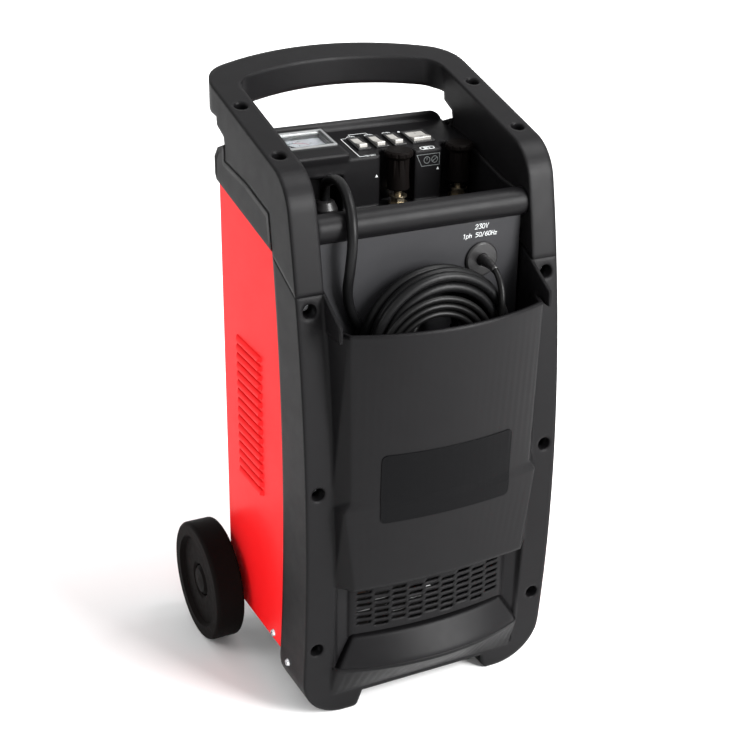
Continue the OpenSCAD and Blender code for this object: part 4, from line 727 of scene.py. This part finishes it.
# The look of each slot in the record, and of the nodes that differ from their slot.
SLOT_LOOK = {
    "black_moulding": "moulding", "red_paint": "paint", "zinc_steel": "steel",
    "wheel_rubber": "rubber", "black_plastic": "plastic", "grey_plastic": "grey",
    "dial": "dial", "needle": "needle", "window": "window", "cream_plastic": "cream",
    "brass": "brass", "lead_black": "lead", "nickel": "nickel", "clamp_black": "clamp_black",
    "clamp_red": "clamp_red", "copper_winding": "copper", "aluminium": "aluminium",
    "diode_steel": "diode",
}
NODE_LOOK = {
    "terminal_knob_12": "knob", "terminal_knob_24": "knob", "bin_back_plate": "plate",
    # The zinc steel bracket and the base plate take the dark core look: painted shade for the inside
    # of the casing.
    "axle_caps": "knob", "transformer_core": "core", "base_plate": "core",
    "axle_bracket": "core",
}


def make_materials():
    """Every look of the object, by a short name."""
    return {
        "moulding": material("moulding_black", (0.0048, 0.0046, 0.0050), 0.38, spread=0.12,
                             scale=25, grain=0.00005, grain_scale=1700, bevel=0.0055,
                             wave=0.0001, wave_scale=14, ior=1.175),
        # The red paint carries painted shade on the inside of the casing.
        "paint": material("paint_red", (0.80, 0.010, 0.012), 0.34, spread=0.04, scale=8,
                          grain=0.00003, grain_scale=700, coat=0.06, coat_rough=0.12,
                          bevel=0.0006, wave=0.0002, wave_scale=9, ior=1.13, inside_shade=True),
        "plastic": material("plastic_black", (0.010, 0.0096, 0.0098), 0.34, grain=0.00003,
                            grain_scale=2200, bevel=0.0006, ior=1.4),
        "knob": material("knob_black", (0.0035, 0.0028, 0.0026), 0.5, grain=0.00003,
                         grain_scale=2200, bevel=0.0006, ior=1.09),
        "plate": material("plate_black", (0.0185, 0.0185, 0.020), 0.5, grain=0.00004,
                          grain_scale=1800, bevel=0.0006, ior=1.22),
        "rubber": material("wheel_black", (0.005, 0.004, 0.0038), 0.5, grain=0.00006,
                           grain_scale=1200, bevel=0.0010, ior=1.07),
        "grey": material("plastic_grey", (0.15, 0.155, 0.155), 0.36, grain=0.00002,
                         grain_scale=2000, bevel=0.0006),
        "label": material("label_black", (0.003, 0.003, 0.0033), 0.3, grain=0.00001,
                          grain_scale=900, bevel=0.0004, ior=1.11),
        "print_white": material("print_white", (0.62, 0.64, 0.64), 0.5, spread=0.05, scale=500),
        "print_grey": material("print_grey", (0.12, 0.13, 0.13), 0.5, spread=0.05, scale=500),
        "print_dark": material("print_dark", (0.06, 0.065, 0.07), 0.5, spread=0.05, scale=500),
        "print_green": material("print_green", (0.05, 0.16, 0.12), 0.5, spread=0.05, scale=500),
        "print_red": material("print_red", (0.45, 0.10, 0.13), 0.5, spread=0.05, scale=500),
        "dial": material("dial_card", (0.60, 0.62, 0.66), 0.55, spread=0.05, scale=40),
        "needle": material("needle_black", (0.02, 0.02, 0.02), 0.4),
        "window": glass("window_clear"),
        "cream": material("rocker_cream", (0.27, 0.262, 0.245), 0.32, spread=0.03, scale=90,
                          grain=0.00002, grain_scale=2500, bevel=0.0008),
        "brass": material("brass", (0.30, 0.26, 0.19), 0.34, metallic=1, spread=0.15, scale=300,
                          rough_spread=0.3, bevel=0.0003),
        "steel": material("zinc_steel", (0.66, 0.67, 0.69), 0.32, metallic=1, spread=0.12,
                          scale=220, rough_spread=0.3, bevel=0.0004),
        "nickel": material("nickel", (0.74, 0.71, 0.65), 0.24, metallic=1, scale=260,
                           rough_spread=0.25, bevel=0.0003),
        "lead": material("lead_sheath", (0.0035, 0.0035, 0.0037), 0.38, spread=0.2, scale=90,
                         grain=0.00004, grain_scale=900, ior=1.22),
        "mains": material("mains_sheath", (0.0035, 0.0035, 0.0035), 0.36, spread=0.2, scale=90,
                          grain=0.00003, grain_scale=1100, ior=1.22),
        "clamp_black": material("clamp_black", (0.02, 0.02, 0.022), 0.5, grain=0.00006,
                                grain_scale=1300, bevel=0.0008),
        "clamp_red": material("clamp_red", (0.62, 0.012, 0.014), 0.45, grain=0.00006,
                              grain_scale=1300, bevel=0.0008),
        # Winding, aluminium and core steel inside the casing: partly their own dull colour, partly
        # painted shade that keeps the slots dark.
        "copper": material("winding_copper", (0.10, 0.045, 0.022), 0.45, metallic=0.3, spread=0.3,
                           scale=400),
        "aluminium": material("aluminium", (0.22, 0.22, 0.23), 0.55, metallic=1, spread=0.06,
                              scale=200, rough_spread=0.3, bevel=0.0004),
        "core": material("core_steel", (0.05, 0.048, 0.045), 0.6, metallic=0.5, spread=0.2,
                         scale=300),
        "diode": material("diode_steel", (0.30, 0.29, 0.27), 0.45, metallic=1, spread=0.1,
                          scale=300),
    }


def dress_frame(mats):
    """Each CAD node gets the look of its slot in the record, or one of its own."""
    for part in frame["record"]["subparts"]:
        obj = frame["nodes"][part["node"]]
        look = NODE_LOOK.get(part["node"], SLOT_LOOK[part["material_slot"]])
        obj.data.materials.clear()
        obj.data.materials.append(mats[look])


def main():
    make_camera()
    mats = make_materials()
    for make in (negative_lead, positive_lead, mains_lead, dress_frame, panel_prints,
                 well_prints, plate_prints, dial_prints, rocker_prints):
        make(mats)
    front = on_node("front_cover", -300 * REARWARD, REARWARD, UP)
    label_plate(front, mats)
    inlet_shelf(front, mats)
    make_studio()


main()
